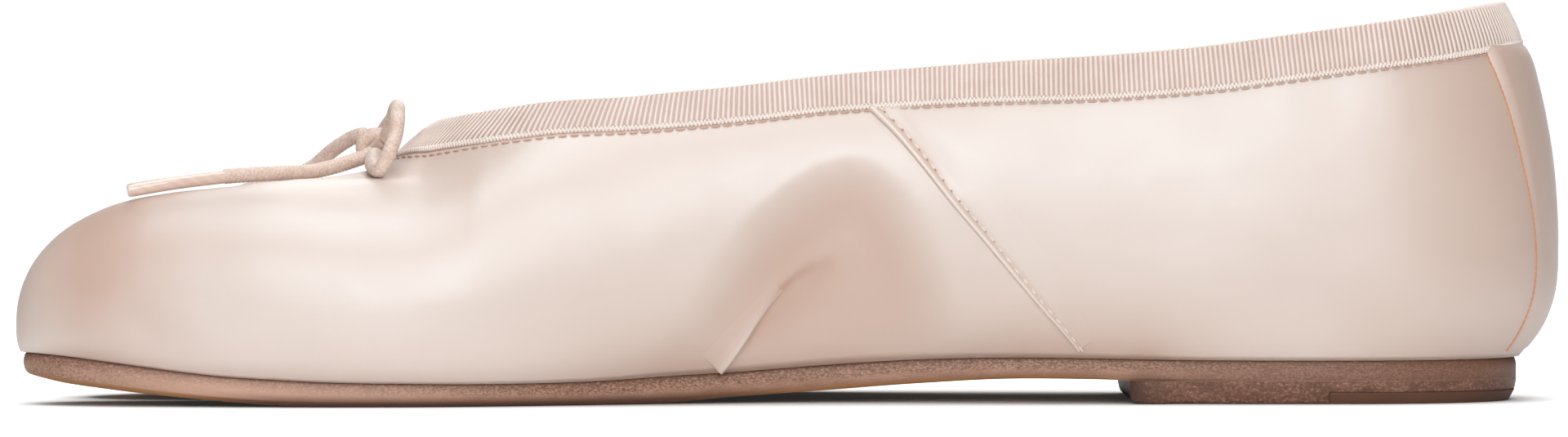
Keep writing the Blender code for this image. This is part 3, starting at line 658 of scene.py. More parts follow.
def heel_outline(front, margin, kept_from, corner=3.0):
    """The sole's outline from a straight front with rounded corners to the back of the heel."""
    outline = foot_outline(margin, 0.0, SOLE_TUCK)
    kept = [p for p in outline if p[0] > kept_from]
    half = np.interp(front, *zip(*sorted((p[0], p[1]) for p in outline if p[1] > 0)))
    turn = next(k for k in range(len(kept) - 1) if kept[k][1] < 0 < kept[k + 1][1])
    if corner:
        turns = [math.radians(angle) for angle in range(0, 91, 15)]
        inner_x, inner_y = front + corner, corner - half
        low = [np.array([inner_x - corner * math.sin(t), inner_y - corner * math.cos(t)]) for t in turns]
        middle = [np.array([front, y]) for y in np.linspace(corner - half, half - corner, 15)[1:-1]]
        breast = [*low, *middle, *(p * (1, -1) for p in low[::-1])]
    else:
        breast = [np.array([front, y]) for y in np.linspace(-half, half, 15)]
    return np.array([*kept[: turn + 1], *breast, *kept[turn + 1 :]])


HEEL_DARK, HEEL_BROWN = (0.140, 0.059, 0.035), (0.265, 0.130, 0.082)
HEEL_CRACKS, HEEL_BREAST = (0.110, 0.050, 0.034), (0.085, 0.042, 0.030)


def heel_leather():
    """Streaked and crackled like the sole's edge, and darker on its breast, the heel's front face."""
    finish = Finish("heel_leather", EDGE_BROWN, 0.5, Specular_IOR_Level=0.35)
    streaks = finish.noise(2.6, 5, 0.65, finish.stretched((0.35, 0.6, 2.0)))
    crackle = finish.noise(0.34, 4, 0.8, finish.stretched((0.6, 1, 1)), seed=3)
    mottled = finish.mix(finish.ramp(streaks, (0.36, 0.0), (0.62, 1.0)), HEEL_DARK, HEEL_BROWN)
    mottled = finish.mix(finish.ramp(crackle, (0.44, 0.75), (0.52, 0.0)), mottled, HEEL_CRACKS)
    mottled = finish.mix(finish.ramp(crackle, (0.54, 0.0), (0.64, 0.6)), mottled, EDGE_LIGHT)
    breast = finish.ramp(finish.along_shoe(), (0.5555, 0.9), (0.5605, 0.0))
    finish.colour(finish.mix(breast, mottled, HEEL_BREAST))
    finish.relief(crackle, 0.05, 0.7).relief(streaks, 0.08, 0.5).gloss(crackle, 0.36, 0.60)
    return finish.material


def tip_rubber():
    finish = Finish("tip_rubber", (0.13, 0.055, 0.030), 0.6, Specular_IOR_Level=0.4)
    cloud = finish.noise(5, 4, 0.6)
    finish.colour(finish.mix(cloud, (0.10, 0.043, 0.025), (0.17, 0.075, 0.045)))
    finish.relief(finish.noise(0.5, 2), 0.04, 0.5).gloss(cloud, 0.5, 0.7)
    return finish.material


heel_low = heel_outline(HEEL_BREAST_X + HEEL_BREAST_LEAN, SOLE_MARGIN - HEEL_FLOOR_INSET, HEEL_SIDES_X)
heel_high = heel_outline(HEEL_BREAST_X, SOLE_MARGIN - HEEL_TOP_INSET, HEEL_SIDES_X)
at_breast = np.clip((HEEL_SIDES_X - heel_low[:, :1]) / 5, 0, 1)


def heel_ring(height):
    """The heel's outline at a share of its height: its front edge is rounded off near the ground."""
    flare = 1 - (1 - height) ** HEEL_FLARE
    rounded = 1 - (1 - height) ** HEEL_FLARE_FRONT
    return heel_low + (heel_high - heel_low) * (at_breast * rounded + (1 - at_breast) * flare)


heel_rings = [(inset(heel_ring(0), 0.45), 0.0), (inset(heel_ring(0.04), 0.08), 0.06)]
heel_rings += [(heel_ring(height), height) for height in (0.12, 0.2, 0.3, 0.45, 0.6, 0.75, 0.9, 1.0)]
lift_mesh = plate(heel_rings, lambda x: sole_bottom(x) - 0.02, lambda x: 0.0, 6.0)
lift = piece("lift", lift_mesh, heel_leather(), 50)
notch_mesh = bmesh.new()
bmesh.ops.create_cube(notch_mesh, size=1)
for v in notch_mesh.verts:
    v.co = Vector(np.where(np.array(v.co) < 0, (TIP_FRONT_X, -50, -5), (140, 50, TIP_HEIGHT)))
notch = piece("notch", notch_mesh, lift.data.materials[0])
cut = lift.modifiers.new("notch", "BOOLEAN")
cut.operation, cut.object = "DIFFERENCE", notch
bpy.context.view_layer.update()
notched = bpy.data.meshes.new_from_object(lift.evaluated_get(bpy.context.evaluated_depsgraph_get()))
lift.modifiers.remove(cut)
lift.data = notched
bpy.data.objects.remove(notch)
declare(lift, "leather", "heel_lift")

rise = TIP_HEIGHT / sole_bottom(TIP_FRONT_X)
tip_high = 1 - (1 - rise) ** HEEL_FLARE
tip_high = SOLE_MARGIN - (HEEL_FLOOR_INSET + (HEEL_TOP_INSET - HEEL_FLOOR_INSET) * tip_high)
tip_low = heel_outline(TIP_FRONT_X + 0.05, SOLE_MARGIN - HEEL_FLOOR_INSET, TIP_SIDES_X, 0.0)
tip_top = heel_outline(TIP_FRONT_X + 0.05, tip_high, TIP_SIDES_X, 0.0)
tip_rings = [(inset(tip_low, 0.3), 0.0), (tip_low, 0.2), (tip_top, 0.9), (inset(tip_top, 0.12), 1.0)]
tip = piece("rubber_tip", plate(tip_rings, lambda x: TIP_HEIGHT - 0.04, lambda x: 0.0, 6.0), tip_rubber(), 50)
declare(tip, "rubber", "heel_tip")

# ---------------------------------------------------------------- insole
# The sock: a thin padded board in smooth pale leather, glued in over the lasted margin.

INSOLE = 2.0


def sock_leather():
    finish = Finish("sock_leather", (0.62, 0.50, 0.42), 0.5, Specular_IOR_Level=0.35)
    grain = finish.noise(0.7, 3, 0.6)
    cloud = finish.noise(22, 3, 0.5, seed=2)
    finish.colour(finish.mix(cloud, (0.60, 0.475, 0.395), (0.68, 0.56, 0.48)))
    return finish.relief(grain, 0.06, 0.6).gloss(grain, 0.42, 0.6).material


sock_edge = -(WALL + GAP / 2)
sock_line = foot_outline(sock_edge, sock_edge)
sock_rings = [(inset(sock_line, 0.3), 0.0), (sock_line, 0.3), (sock_line, 0.8), (inset(sock_line, 0.25), 1.0)]
sock_mesh = plate(sock_rings, lambda x: foot_z(x) + INSOLE, lambda x: foot_z(x) + GAP / 2, 3.0)
sock = piece("sock", sock_mesh, sock_leather(), 50)
declare(sock, "lining", "insole")

# ---------------------------------------------------------------- upper
# Satin over a thin stiffener, stretched on the two-toed last and cut away for the foot. It is one
# vamp and one quarter, which folds over it at slanting side seams, and it is pleated at the waist.

SATIN, CLOTH_GAP = 0.6, 0.05
SKIN_PITCH = 1.15
EASED_REACH, EASED_FROM_Z, EASING = 9, 18, 40


def topline(pitch):
    """Edge of the opening as a closed line from its front along the medial side, round the heel and back."""
    lines = []
    for side in (MEDIAL, LATERAL):
        sections, front = outer_sections(side, pitch)
        lines.append(np.array([rows[-1] for rows in sections[front:]]))
    return np.vstack([lines[0], lines[1][-2:0:-1]])


def fine_line(points, step=0.5):
    """The same line with a point every step."""
    found = [points[0]]
    for a, b in zip(points[:-1], points[1:]):
        count = max(1, int(np.linalg.norm(b - a) / step))
        found.extend(a + (b - a) * (k + 1) / count for k in range(count))
    return np.array(found)


def lift_throat(points, edge):
    """Raises the skin near the front of the opening, most at its edge, as the drawcord does."""
    lifted = points.copy()
    near_edge = points[:, 0] < THROAT_X + THROAT_LIFT_LENGTH + THROAT_LIFT_REACH
    near_edge &= points[:, 0] > THROAT_X - THROAT_LIFT_REACH
    for k in np.flatnonzero(near_edge):
        away = np.linalg.norm(edge - points[k], axis=1)
        nearest = int(away.argmin())
        share = min(1.0, (edge[nearest][0] - THROAT_X) / THROAT_LIFT_LENGTH)
        if away[nearest] < THROAT_LIFT_REACH and share < 1:
            dip = THROAT_DIP * math.exp(-(((edge[nearest][0] - THROAT_X) / THROAT_DIP_LENGTH) ** 2))
            rise = THROAT_LIFT * (1 - share) ** 1.6 - dip
            lifted[k][2] += rise * (1 - away[nearest] / THROAT_LIFT_REACH) ** 2
    return lifted


def quads(bm, rows, ring=False):
    """Faces between neighbouring rows of points, each row closed on itself if it is a ring."""
    for a, b in zip(rows[:-1], rows[1:]):
        for k in range(len(a) if ring else len(a) - 1):
            n = (k + 1) % len(a)
            bm.faces.new((a[k], a[n], b[n], b[k]))


def skin(pitch):
    """The upper's outer skin as an open bmesh, in millimetres, with its faces pointing out."""
    raw = topline(pitch)
    edge = fine_line(np.vstack([raw, raw[:1]]), 1.0)
    bm = bmesh.new()
    for side in (MEDIAL, LATERAL):
        lobe, groove = inner_sections(side, pitch)
        for rows in (outer_sections(side, pitch)[0], lobe, groove):
            quads(bm, [[bm.verts.new(p) for p in lift_throat(np.array(row), edge)] for row in rows])
    bmesh.ops.remove_doubles(bm, verts=bm.verts, dist=0.002)
    bmesh.ops.dissolve_degenerate(bm, dist=0.001, edges=bm.edges)
    bmesh.ops.recalc_face_normals(bm, faces=bm.faces)
    backmost = max(bm.faces, key=lambda f: f.calc_center_median().x)
    if backmost.normal.x < 0:
        bmesh.ops.reverse_faces(bm, faces=bm.faces)
    eased = [v for v in bm.verts if abs(v.co.x - THROAT_X) < EASED_REACH and v.co.z > EASED_FROM_Z]
    eased = [v for v in eased if not v.is_boundary]
    for _ in range(round(EASING / pitch**2)):
        bmesh.ops.smooth_vert(bm, verts=eased, factor=0.5, use_axis_x=True, use_axis_y=True, use_axis_z=True)
    return bm


def from_line(flat, line):
    """Signed distance of flat points from a line, and the share of the line's length at the nearest place."""
    line = np.array(line, float)
    lengths = np.linalg.norm(np.diff(line, axis=0), axis=1)
    before = np.concatenate([[0], np.cumsum(lengths)])
    best, share = np.full(len(flat), 1e9), np.zeros(len(flat))
    for a, b, length, start in zip(line[:-1], line[1:], lengths, before):
        ahead = (b - a) / length
        t = np.clip((flat - a) @ ahead, 0, length)
        away = flat - a - t[:, None] * ahead
        side = np.sign(ahead[0] * away[:, 1] - ahead[1] * away[:, 0])
        distance = np.linalg.norm(away, axis=1)
        closer = distance < np.abs(best)
        best[closer] = (distance * np.where(side == 0, 1, side))[closer]
        share[closer] = (start + t[closer]) / before[-1]
    return best, share


# Soft troughs, with a depth above 0, and ridges: where each runs in side view or from above.
CREASES = (
    # view  depth  width  ends   points
    ("in", -0.25, 3.0, 1.2, ((-18, 10), (-12, 17), (-7, 23), (-1, 27))),
    ("in", 0.75, 1.5, 1.0, ((16.5, 47), (20.0, 43.4), (23.5, 39.4), (28, 34))),
    ("in", -0.20, 3.0, 1.4, ((12, 36), (17, 31), (21, 25))),
    ("in", 0.55, 3.2, 1.2, ((-109, 17), (-101, 10.5), (-91, 8))),
    ("out", 0.7, 12.0, 1.2, ((-22, 8), (-6, 24), (12, 36))),
    ("out", 0.5, 3.5, 1.2, ((17, 39), (27, 38), (37, 34))),
    ("top", 0.45, 3.2, 1.2, ((-80, -18), (-70, -19), (-58, -25))),
    ("top", -0.30, 2.4, 1.2, ((-78, -22), (-68, -23.5), (-56, -29))),
    ("top", 0.35, 3.0, 1.2, ((-80, 5), (-69, 11), (-58, 19))),
)


# The hollow of the arch: its soft rim in side view, its depth, and how far in from the rim it deepens
# at places along the shoe. It eases out towards the sole.
HOLLOW_RIM = (
    (-22, 9), (-17, 18), (-12, 25.5), (-7.2, 31), (-1.5, 35.8), (4, 39.4), (9, 41), (13.5, 40),
    (18.5, 36), (22.6, 29.5), (25.4, 22), (27.6, 13), (29, 3),
)
HOLLOW_DEPTH, HOLLOW_EASE = 3.3, ((-22, 0, 10, 28), (14, 11.5, 11.5, 15.5))
HOLLOW_FOOT_Z, HOLLOW_FULL = 6.0, 18.0


def hollow(points, normals):
    """Push of the skin into the hollow of the arch, steepest under the upper part of its rim."""
    away, _ = from_line(points[:, [0, 2]], HOLLOW_RIM)
    depth = np.clip(-away / np.interp(points[:, 0], *HOLLOW_EASE), 0, 1)
    above_sole = np.sin(np.clip((points[:, 2] - HOLLOW_FOOT_Z) / HOLLOW_FULL, 0, 1) * math.pi / 2)
    ease = np.sin(depth * math.pi / 2) ** 1.5
    return HOLLOW_DEPTH * ease * above_sole * (normals[:, 1] < 0)


def relief_of(points, normals):
    """How far the skin is pushed in along its normal by its creases and the loose lie of the satin."""
    depth = np.zeros(len(points))
    for view, deep, width, ends, line in CREASES:
        flat = points[:, :2] if view == "top" else points[:, [0, 2]]
        away, share = from_line(flat, line)
        fade = np.sin(np.pi * np.clip(share, 0, 1)) ** ends
        fade = np.where((share <= 0) | (share >= 1), 0.0, fade)
        facing = {"in": -normals[:, 1], "out": normals[:, 1], "top": normals[:, 2]}[view]
        depth += deep * np.exp(-((away / width) ** 2)) * fade * np.clip(facing * 1.6, 0, 1)
    return depth


# The skin drops on the lower side of this line in side view, where the pleat runs out in a pucker.
PUCKER = ((-9.5, 8.0), (-5.5, 13.4), (-1.6, 18.3), (1.8, 21.2), (6.5, 23.6))
PUCKER_DEPTH, PUCKER_WIDTH, PUCKER_REACH = 1.2, 1.4, 6.0


def puckered(points, normals):
    """Push of the skin on the lower side of the pucker, fading away from it and towards its ends."""
    away, share = from_line(points[:, [0, 2]], PUCKER)
    drop = np.clip(-away / PUCKER_WIDTH, 0, 1)
    fade = np.sin(np.pi * np.clip(share, 0, 1)) ** 0.8 * np.exp(-((away / PUCKER_REACH) ** 2))
    return PUCKER_DEPTH * drop * drop * (3 - 2 * drop) * fade * (normals[:, 1] < 0)


LOOSE_SIZE, LOOSE_BROAD, LOOSE_FINE = 13.0, 0.16, 0.05


def loose(points):
    """Slight unevenness of satin that is stretched by hand, in millimetres."""
    found = []
    for p in points:
        place = Vector(p) / LOOSE_SIZE
        fine = noise.noise(place * 2.7 + Vector((9, 2, 5)))
        found.append(LOOSE_BROAD * noise.noise(place) + LOOSE_FINE * fine)
    return np.array(found)


# Where the satin turns in above the sole it takes painted shade too: along the shoe, and how far up.
TUCK_SHADE = ((-48, -18, 8, 23, 38, 56, 80), (0, 0.55, 0.50, 0.18, 0.52, 0.55, 0))
TUCK_REACH = 12.0
# Round the toes and the heel it takes painted light low down, above the sole: along the shoe, and how far up.
PAINTED_LOW_LIGHT = ((-125, -112, -98, -45, -20, 58, 72, 84, 93), (0.25, 0.35, 0.60, 0.65, 0, 0, 0.55, 0.55, 0))
PAINTED_LOW_LIGHT_REACH = 13.0
# It takes painted shade all along the lower side of this line, under the pleat and its pucker.
FOLD_SHADE = ((-12.2, 4.4), (-8.3, 9.4), (-3.9, 15.6), (-1.6, 18.3), (1.8, 21.2), (6.5, 23.6))
FOLD_SHADE_DEPTH, FOLD_SHADE_WIDTH = 0.42, 1.7


def above_foot(points, reach):
    """Height above the sole as a share of the given reach, 1 at most."""
    return np.clip((points[:, 2] - np.array([foot_z(x) for x in points[:, 0]])) / reach, 0, 1)


def shade_of(points, normals):
    """How much painted shade the satin takes, from 0 to 1: in the hollow, in the creases, under the pleat and
    above the sole.
    """
    creased = relief_of(points, normals) + puckered(points, normals)
    tucked = np.interp(points[:, 0], *TUCK_SHADE) * (1 - above_foot(points, TUCK_REACH)) ** 1.2
    away, share = from_line(points[:, [0, 2]], FOLD_SHADE)
    under = np.clip(0.5 - away / 0.8, 0, 1) * np.exp(-((np.clip(-away, 0, None) / FOLD_SHADE_WIDTH) ** 1.3))
    under *= FOLD_SHADE_DEPTH * np.sin(np.pi * np.clip(share, 0, 1)) ** 0.5
    painted_shade = 0.82 * (hollow(points, normals) / HOLLOW_DEPTH) ** 0.75
    painted_shade = painted_shade + (0.40 * creased + under) * (normals[:, 1] < 0)
    return np.clip(np.maximum(painted_shade, tucked) + 0.35 * np.minimum(painted_shade, tucked), 0, 1)


def pushed(bm):
    """Moves a skin's points in by its relief, less towards its foot and its edge."""
    bm.normal_update()
    points = np.array([v.co for v in bm.verts])
    normals = np.array([v.normal for v in bm.verts])
    edge = np.array([v.is_boundary for v in bm.verts])
    depth = relief_of(points, normals) + puckered(points, normals) + hollow(points, normals) + loose(points)
    depth[edge] = 0
    # Layers for the satin's colour: painted shade, and painted light, here low round the toes and the heel.
    painted_shade, folded = bm.verts.layers.float.new("painted_shade"), bm.verts.layers.float.new("folded")
    low_light = np.interp(points[:, 0], *PAINTED_LOW_LIGHT) * (1 - above_foot(points, PAINTED_LOW_LIGHT_REACH))
    for v, p, n, d, low, light in zip(bm.verts, points, normals, depth, shade_of(points, normals), low_light):
        v.co = Vector(p - n * d)
        v[painted_shade], v[folded] = low, light
    return bm


SATIN_COLOUR, SATIN_DEEP = (0.730, 0.578, 0.494), (0.702, 0.544, 0.460)
SATIN_TURNED_AWAY_SHADE, SATIN_PAINTED_LIGHT = (0.61, 0.400, 0.308), (0.82, 0.670, 0.590)
SATIN_SHADED = (0.56, 0.335, 0.235)
SATIN_IOR, SATIN_SHEEN = 1.75, (0.675, 0.885, 0.985, 1)
TURNED_AWAY_SHADE = (  # painted shade towards the toe tips and the back of the heel, where the satin turns away from the light, at places along the shoe
    (0.379, 0.1), (0.386, 0.85), (0.392, 0.9), (0.406, 0.0), (0.570, 0.0), (0.600, 0.26), (0.622, 0.62),
)


def satin():
    """Woven satin, with painted shade towards the toe tips and the back of the heel, in its hollow, creases
    and low waist, and painted light on its folds and low round the toes and the heel.
    """
    finish = Finish(
        "satin", SATIN_COLOUR, 0.46, Specular_IOR_Level=1.0, Sheen_Weight=0.25, Sheen_Roughness=0.35
    )
    finish.shader.inputs["IOR"].default_value = SATIN_IOR
    finish.shader.inputs["Specular Tint"].default_value = SATIN_SHEEN
    cloud = finish.noise(26, 3, 0.5)
    tone = finish.mix(finish.ramp(cloud, (0.3, 0.0), (0.7, 1.0)), SATIN_DEEP, SATIN_COLOUR)
    # Painted shade towards the toe tips and the back of the heel.
    tone = finish.mix(finish.ramp(finish.along_shoe(), *TURNED_AWAY_SHADE), tone, SATIN_TURNED_AWAY_SHADE)
    # Painted shade in the hollow, the creases, under the pleat and low on the waist.
    tone = finish.mix(finish.attribute("painted_shade"), tone, SATIN_SHADED)
    # Painted light on the seam and pleat folds, and low round the toes and the heel.
    finish.colour(finish.mix(finish.attribute("folded"), tone, SATIN_PAINTED_LIGHT))
    weave = finish.noise(0.16, 2, 0.7, finish.stretched((0.35, 1, 1)))
    finish.relief(weave, 0.02, 0.35)
    finish.relief(finish.noise(3.2, 3, 0.55, seed=5), 0.10, 0.45)
    return finish.gloss(finish.noise(9, 3, 0.5, seed=8), 0.40, 0.54).material


satin_cloth = satin()
body = pushed(skin(SKIN_PITCH))
body_tree = BVHTree.FromBMesh(body)
upper = piece("satin_upper", body, satin_cloth, 60)
thick = upper.modifiers.new("cloth", "SOLIDIFY")
thick.thickness, thick.offset, thick.use_even_offset = SATIN * MM, -1, False
declare(upper, "satin", "upper")

# ---------------------------------------------------------------- lining
# Soft pale lining, glued behind the satin's stiffener and turned under at the opening.


def lining_cloth():
    finish = Finish("lining_cloth", (0.66, 0.55, 0.47), 0.7, Sheen_Weight=0.2)
    weave = finish.noise(0.35, 2, 0.6, finish.stretched((1, 1, 0.5)))
    cloud = finish.noise(18, 3, 0.5)
    finish.colour(finish.mix(cloud, (0.62, 0.505, 0.43), (0.72, 0.61, 0.53)))
    return finish.relief(weave, 0.04, 0.6).gloss(weave, 0.6, 0.8).material


def moved_in(bm, distance):
    """The skin moved in along its normals."""
    bm.normal_update()
    for v, n in [(v, v.normal.copy()) for v in bm.verts]:
        v.co -= n * distance
    return bm


LINING_PITCH = 2.2
lining_mesh = moved_in(pushed(skin(LINING_PITCH)), SATIN + CLOTH_GAP)
lining = piece("upper_lining", lining_mesh, lining_cloth(), 60)
inner = lining.modifiers.new("cloth", "SOLIDIFY")
inner.thickness, inner.offset, inner.use_even_offset = (WALL - SATIN - CLOTH_GAP) * MM, -1, False
declare(lining, "lining")

# ---------------------------------------------------------------- side seams
# The quarter's turned edge lies over the vamp at each side, slanting back to the sole, and is sewn
# down by one row of small stitches behind its fold. Dark dashes of painted shadow sit in the stitch holes.


def onto_skin(side, x, z):
    """Point and normal of the skin at a place in side view."""
    origin = Vector((x, side * 80, z))
    point, normal, _, _ = body_tree.ray_cast(origin, Vector((0, -side, 0)))
    return (np.array(point), np.array(normal)) if point else (None, None)


def even_points(line, spacing):
    """Points at an even spacing on a smooth curve through the given ones."""
    line = np.array(line, float)
    knots = np.concatenate([[0], np.cumsum(np.linalg.norm(np.diff(line, axis=0), axis=1) ** 0.5)])
    slopes = np.gradient(line, knots, axis=0)
    fine = []
    for k in range(len(line) - 1):
        width = knots[k + 1] - knots[k]
        for t in np.linspace(0, 1, 40, endpoint=False):
            blend = t * t * (3 - 2 * t)
            ease = (t * (1 - t) ** 2 * slopes[k] - t * t * (1 - t) * slopes[k + 1]) * width
            fine.append(line[k] * (1 - blend) + line[k + 1] * blend + ease)
    fine = np.array([*fine, line[-1]])
    length = np.concatenate([[0], np.cumsum(np.linalg.norm(np.diff(fine, axis=0), axis=1))])
    at = np.linspace(0, length[-1], max(2, round(length[-1] / spacing) + 1))
    return np.stack([np.interp(at, length, fine[:, axis]) for axis in range(line.shape[1])], axis=1)


def applique(side, line, profile, spacing=0.6, shape=None):
    """A strip on the skin along a line in side view, its profile in (offset across, height, tone).

    Where the tone is above 0 the fold takes painted light, and where it is below 0 painted shade.
    """
    line = even_points(line, spacing)
    across = square_to(np.gradient(line, axis=0))
    bm = bmesh.new()
    lit, shaded = bm.verts.layers.float.new("folded"), bm.verts.layers.float.new("painted_shade")
    rows, base, tones = [], [], []
    for k, (place, way) in enumerate(zip(line, across)):
        share = k / (len(line) - 1)
        row = []
        for offset, height, tone in profile:
            wide, tall = shape(share) if shape else (1, 1)
            x, z = place + way * offset * wide
            point, normal = onto_skin(side, x, z)
            if point is None:
                row = None
                break
            row.append(bm.verts.new(point + normal * (height * tall if height > 0 else height)))
            base.append((point, normal))
            tones.append((row[-1], tone))
        if row:
            rows.append(row)
    shades = shade_of(*(np.array(found) for found in zip(*base)))
    for (vert, tone), shade in zip(tones, shades):
        vert[lit], vert[shaded] = max(0, tone), max(0, -tone, shade)
    quads(bm, rows)
    bmesh.ops.recalc_face_normals(bm, faces=bm.faces)
    middle = next(iter(bm.faces))
    if middle.normal.y * side < 0:
        bmesh.ops.reverse_faces(bm, faces=bm.faces)
    return bm


def poly_lines(name, lines, closed=False):
    """An object of bare edges, one run of edges for each line of points in millimetres."""
    mesh = bpy.data.meshes.new(name)
    points = np.vstack(lines) * MM
    edges, start = [], 0
    for line in lines:
        edges += [(start + k, start + k + 1) for k in range(len(line) - 1)]
        if closed:
            edges.append((start + len(line) - 1, start))
        start += len(line)
    mesh.from_pydata(points.tolist(), edges, [])
    thing = bpy.data.objects.new(name, mesh)
    bpy.context.collection.objects.link(thing)
    return thing


class Tree:
    """A node tree under construction: named inputs, then nodes joined by their sockets."""

    def __init__(self, name, inputs):
        self.tree = bpy.data.node_groups.new(name, "GeometryNodeTree")
        face = self.tree.interface
        face.new_socket("Geometry", in_out="INPUT", socket_type="NodeSocketGeometry")
        kinds = {float: "NodeSocketFloat", int: "NodeSocketInt", bpy.types.Material: "NodeSocketMaterial"}
        self.sockets = {}
        for label, value in inputs.items():
            kind = next(kinds[k] for k in kinds if isinstance(value, k))
            self.sockets[label] = face.new_socket(label, in_out="INPUT", socket_type=kind)
        face.new_socket("Geometry", in_out="OUTPUT", socket_type="NodeSocketGeometry")
        self.given = self.tree.nodes.new("NodeGroupInput").outputs
        self.values = inputs

    def add(self, kind, settings=None, **sockets):
        """A node with some settings, its inputs given as values or as other nodes' outputs."""
        node = self.tree.nodes.new(kind)
        for label, value in (settings or {}).items():
            setattr(node, label, value)
        for label, value in sockets.items():
            usable = [s for s in node.inputs if s.name.replace(" ", "_") == label and s.enabled]
            if isinstance(value, bpy.types.NodeSocket):
                self.tree.links.new(value, usable[0])
            else:
                usable[0].default_value = value
        return node

    def finished(self, geometry, thing):
        """The thing with the tree's result as its plain mesh."""
        real = self.add("GeometryNodeRealizeInstances", Geometry=geometry)
        painted = self.add("GeometryNodeSetMaterial", Geometry=real.outputs[0], Material=self.given["Finish"])
        self.tree.links.new(painted.outputs[0], self.tree.nodes.new("NodeGroupOutput").inputs[0])
        modifier = thing.modifiers.new(self.tree.name, "NODES")
        modifier.node_group = self.tree
        for label, value in self.values.items():
            modifier[self.sockets[label].identifier] = value
        bpy.context.view_layer.update()
        graph = bpy.context.evaluated_depsgraph_get()
        mesh = bpy.data.meshes.new_from_object(thing.evaluated_get(graph))
        thing.modifiers.remove(modifier)
        mesh.shade_smooth()
        thing.data = mesh
        return thing


def stitch_row(name, lines, material, pitch, length, thickness, closed=False):
    """Stitches along lines on the skin: rounded dashes of thread, one at each step of the pitch."""
    inputs = {"Pitch": pitch * MM, "Length": length * MM, "Thread": thickness * MM, "Finish": material}
    tree = Tree("stitches", inputs)
    given = tree.given
    curve = tree.add("GeometryNodeMeshToCurve", Mesh=given["Geometry"])
    spaced = tree.add(
        "GeometryNodeResampleCurve", {"mode": "LENGTH"}, Curve=curve.outputs[0], Length=given["Pitch"]
    )
    ball = tree.add("GeometryNodeMeshUVSphere", Segments=8, Rings=5, Radius=0.5)
    size = tree.add("ShaderNodeCombineXYZ", X=given["Length"], Y=given["Thread"], Z=given["Thread"])
    sized = tree.add("GeometryNodeTransform", Geometry=ball.outputs[0], Scale=size.outputs[0])
    tangent = tree.add("GeometryNodeInputTangent")
    turned = tree.add("FunctionNodeAlignRotationToVector", {"axis": "X"}, Vector=tangent.outputs[0])
    placed = tree.add(
        "GeometryNodeInstanceOnPoints", Points=spaced.outputs[0], Instance=sized.outputs[0],
        Rotation=turned.outputs[0],
    )
    smooth = tree.add("GeometryNodeSetShadeSmooth", Geometry=placed.outputs[0])
    return tree.finished(smooth.outputs[0], poly_lines(name, lines, closed))


def thread(name, low, high):
    finish = Finish(name, high, 0.5, Sheen_Weight=0.2)
    twist = finish.noise(0.3, 2)
    finish.colour(finish.mix(twist, low, high))
    return finish.relief(twist, 0.03, 0.5).gloss(twist, 0.4, 0.6).material


MEDIAL_SEAM = (  # in side view, from the binding down to the sole
    (11.8, 47.6), (15.8, 43.8), (20.2, 38.7), (25.3, 32.3), (30.3, 26.5), (35.2, 20.7), (40.2, 15.0),
    (44.4, 10.4), (45.9, 8.6),
)
LATERAL_SEAM = (
    (13.0, 45.0), (18.2, 38.8), (23.5, 32.4), (29.0, 26.4), (34.2, 20.6), (39.4, 15.0), (45.0, 9.4),
)
FOLD_PROFILE = (  # offset back from the seam, height, tone
    (-0.12, -0.15, -1), (-0.05, 0.10, -0.9), (0.03, 0.40, -0.1), (0.20, 0.66, 0.8), (0.42, 0.76, 1),
    (0.64, 0.64, 0.7), (0.84, 0.40, 0), (1.10, 0.22, -0.3), (1.5, 0.16, -0.2), (2.1, 0.32, 0.2),
    (3.0, 0.27, 0), (4.2, 0.15, 0), (5.6, 0.06, 0), (7.2, -0.01, 0), (8.0, -0.06, 0),
)
STITCH_REACH = ((0, 0.55, 1), (1.45, 1.25, 0.55))  # how far behind the fold they run, down the seam
STITCH_PITCH, STITCH_LENGTH, STITCH_THREAD = 2.1, 1.3, 0.36
PIT_LENGTH, PIT_WIDTH = 0.55, 0.30
sewing = thread("thread", (0.78, 0.64, 0.56), (0.90, 0.79, 0.72))
# Dark dashes of painted shadow for the stitch holes.
pit_shadow = thread("thread_shadow", (0.42, 0.27, 0.21), (0.50, 0.34, 0.27))
# Pinkish thread for the hem stitches, darkened with painted shade for the holes they lie in.
blush_thread = thread("blush_thread", (0.56, 0.33, 0.24), (0.66, 0.43, 0.33))


def fold_shape(share):
    return 1 - 0.6 * share**5, 1 - 0.3 * share**6


for side, line in ((MEDIAL, MEDIAL_SEAM), (LATERAL, LATERAL_SEAM)):
    where = side_name(side)
    fold = piece("seam_fold_" + where, applique(side, line, FOLD_PROFILE, 0.6, fold_shape), satin_cloth, 180)
    declare(fold, "satin")
    row = even_points(line, 0.7)
    reach = np.interp(np.linspace(0, 1, len(row)), *STITCH_REACH)
    sewn = []
    for place in row + square_to(np.gradient(row, axis=0)) * reach[:, None]:
        point, normal = onto_skin(side, *place)
        sewn.append(point + normal * 0.24)
    stitches = stitch_row(
        "seam_stitches_" + where, [sewn], sewing, STITCH_PITCH, STITCH_LENGTH, STITCH_THREAD
    )
    declare(stitches, "satin")
    # Dark dashes of painted shadow in the stitch holes.
    pit_shadows = stitch_row("seam_pits_" + where, [sewn[1:]], pit_shadow, STITCH_PITCH, PIT_LENGTH, PIT_WIDTH)
    declare(pit_shadows, "satin")

# ---------------------------------------------------------------- waist pleat
# On the inner side the satin is too full for the hollow of the arch, so it is laid in one small
# pleat there, whose folded edge runs down and forward under the edge of the sole.

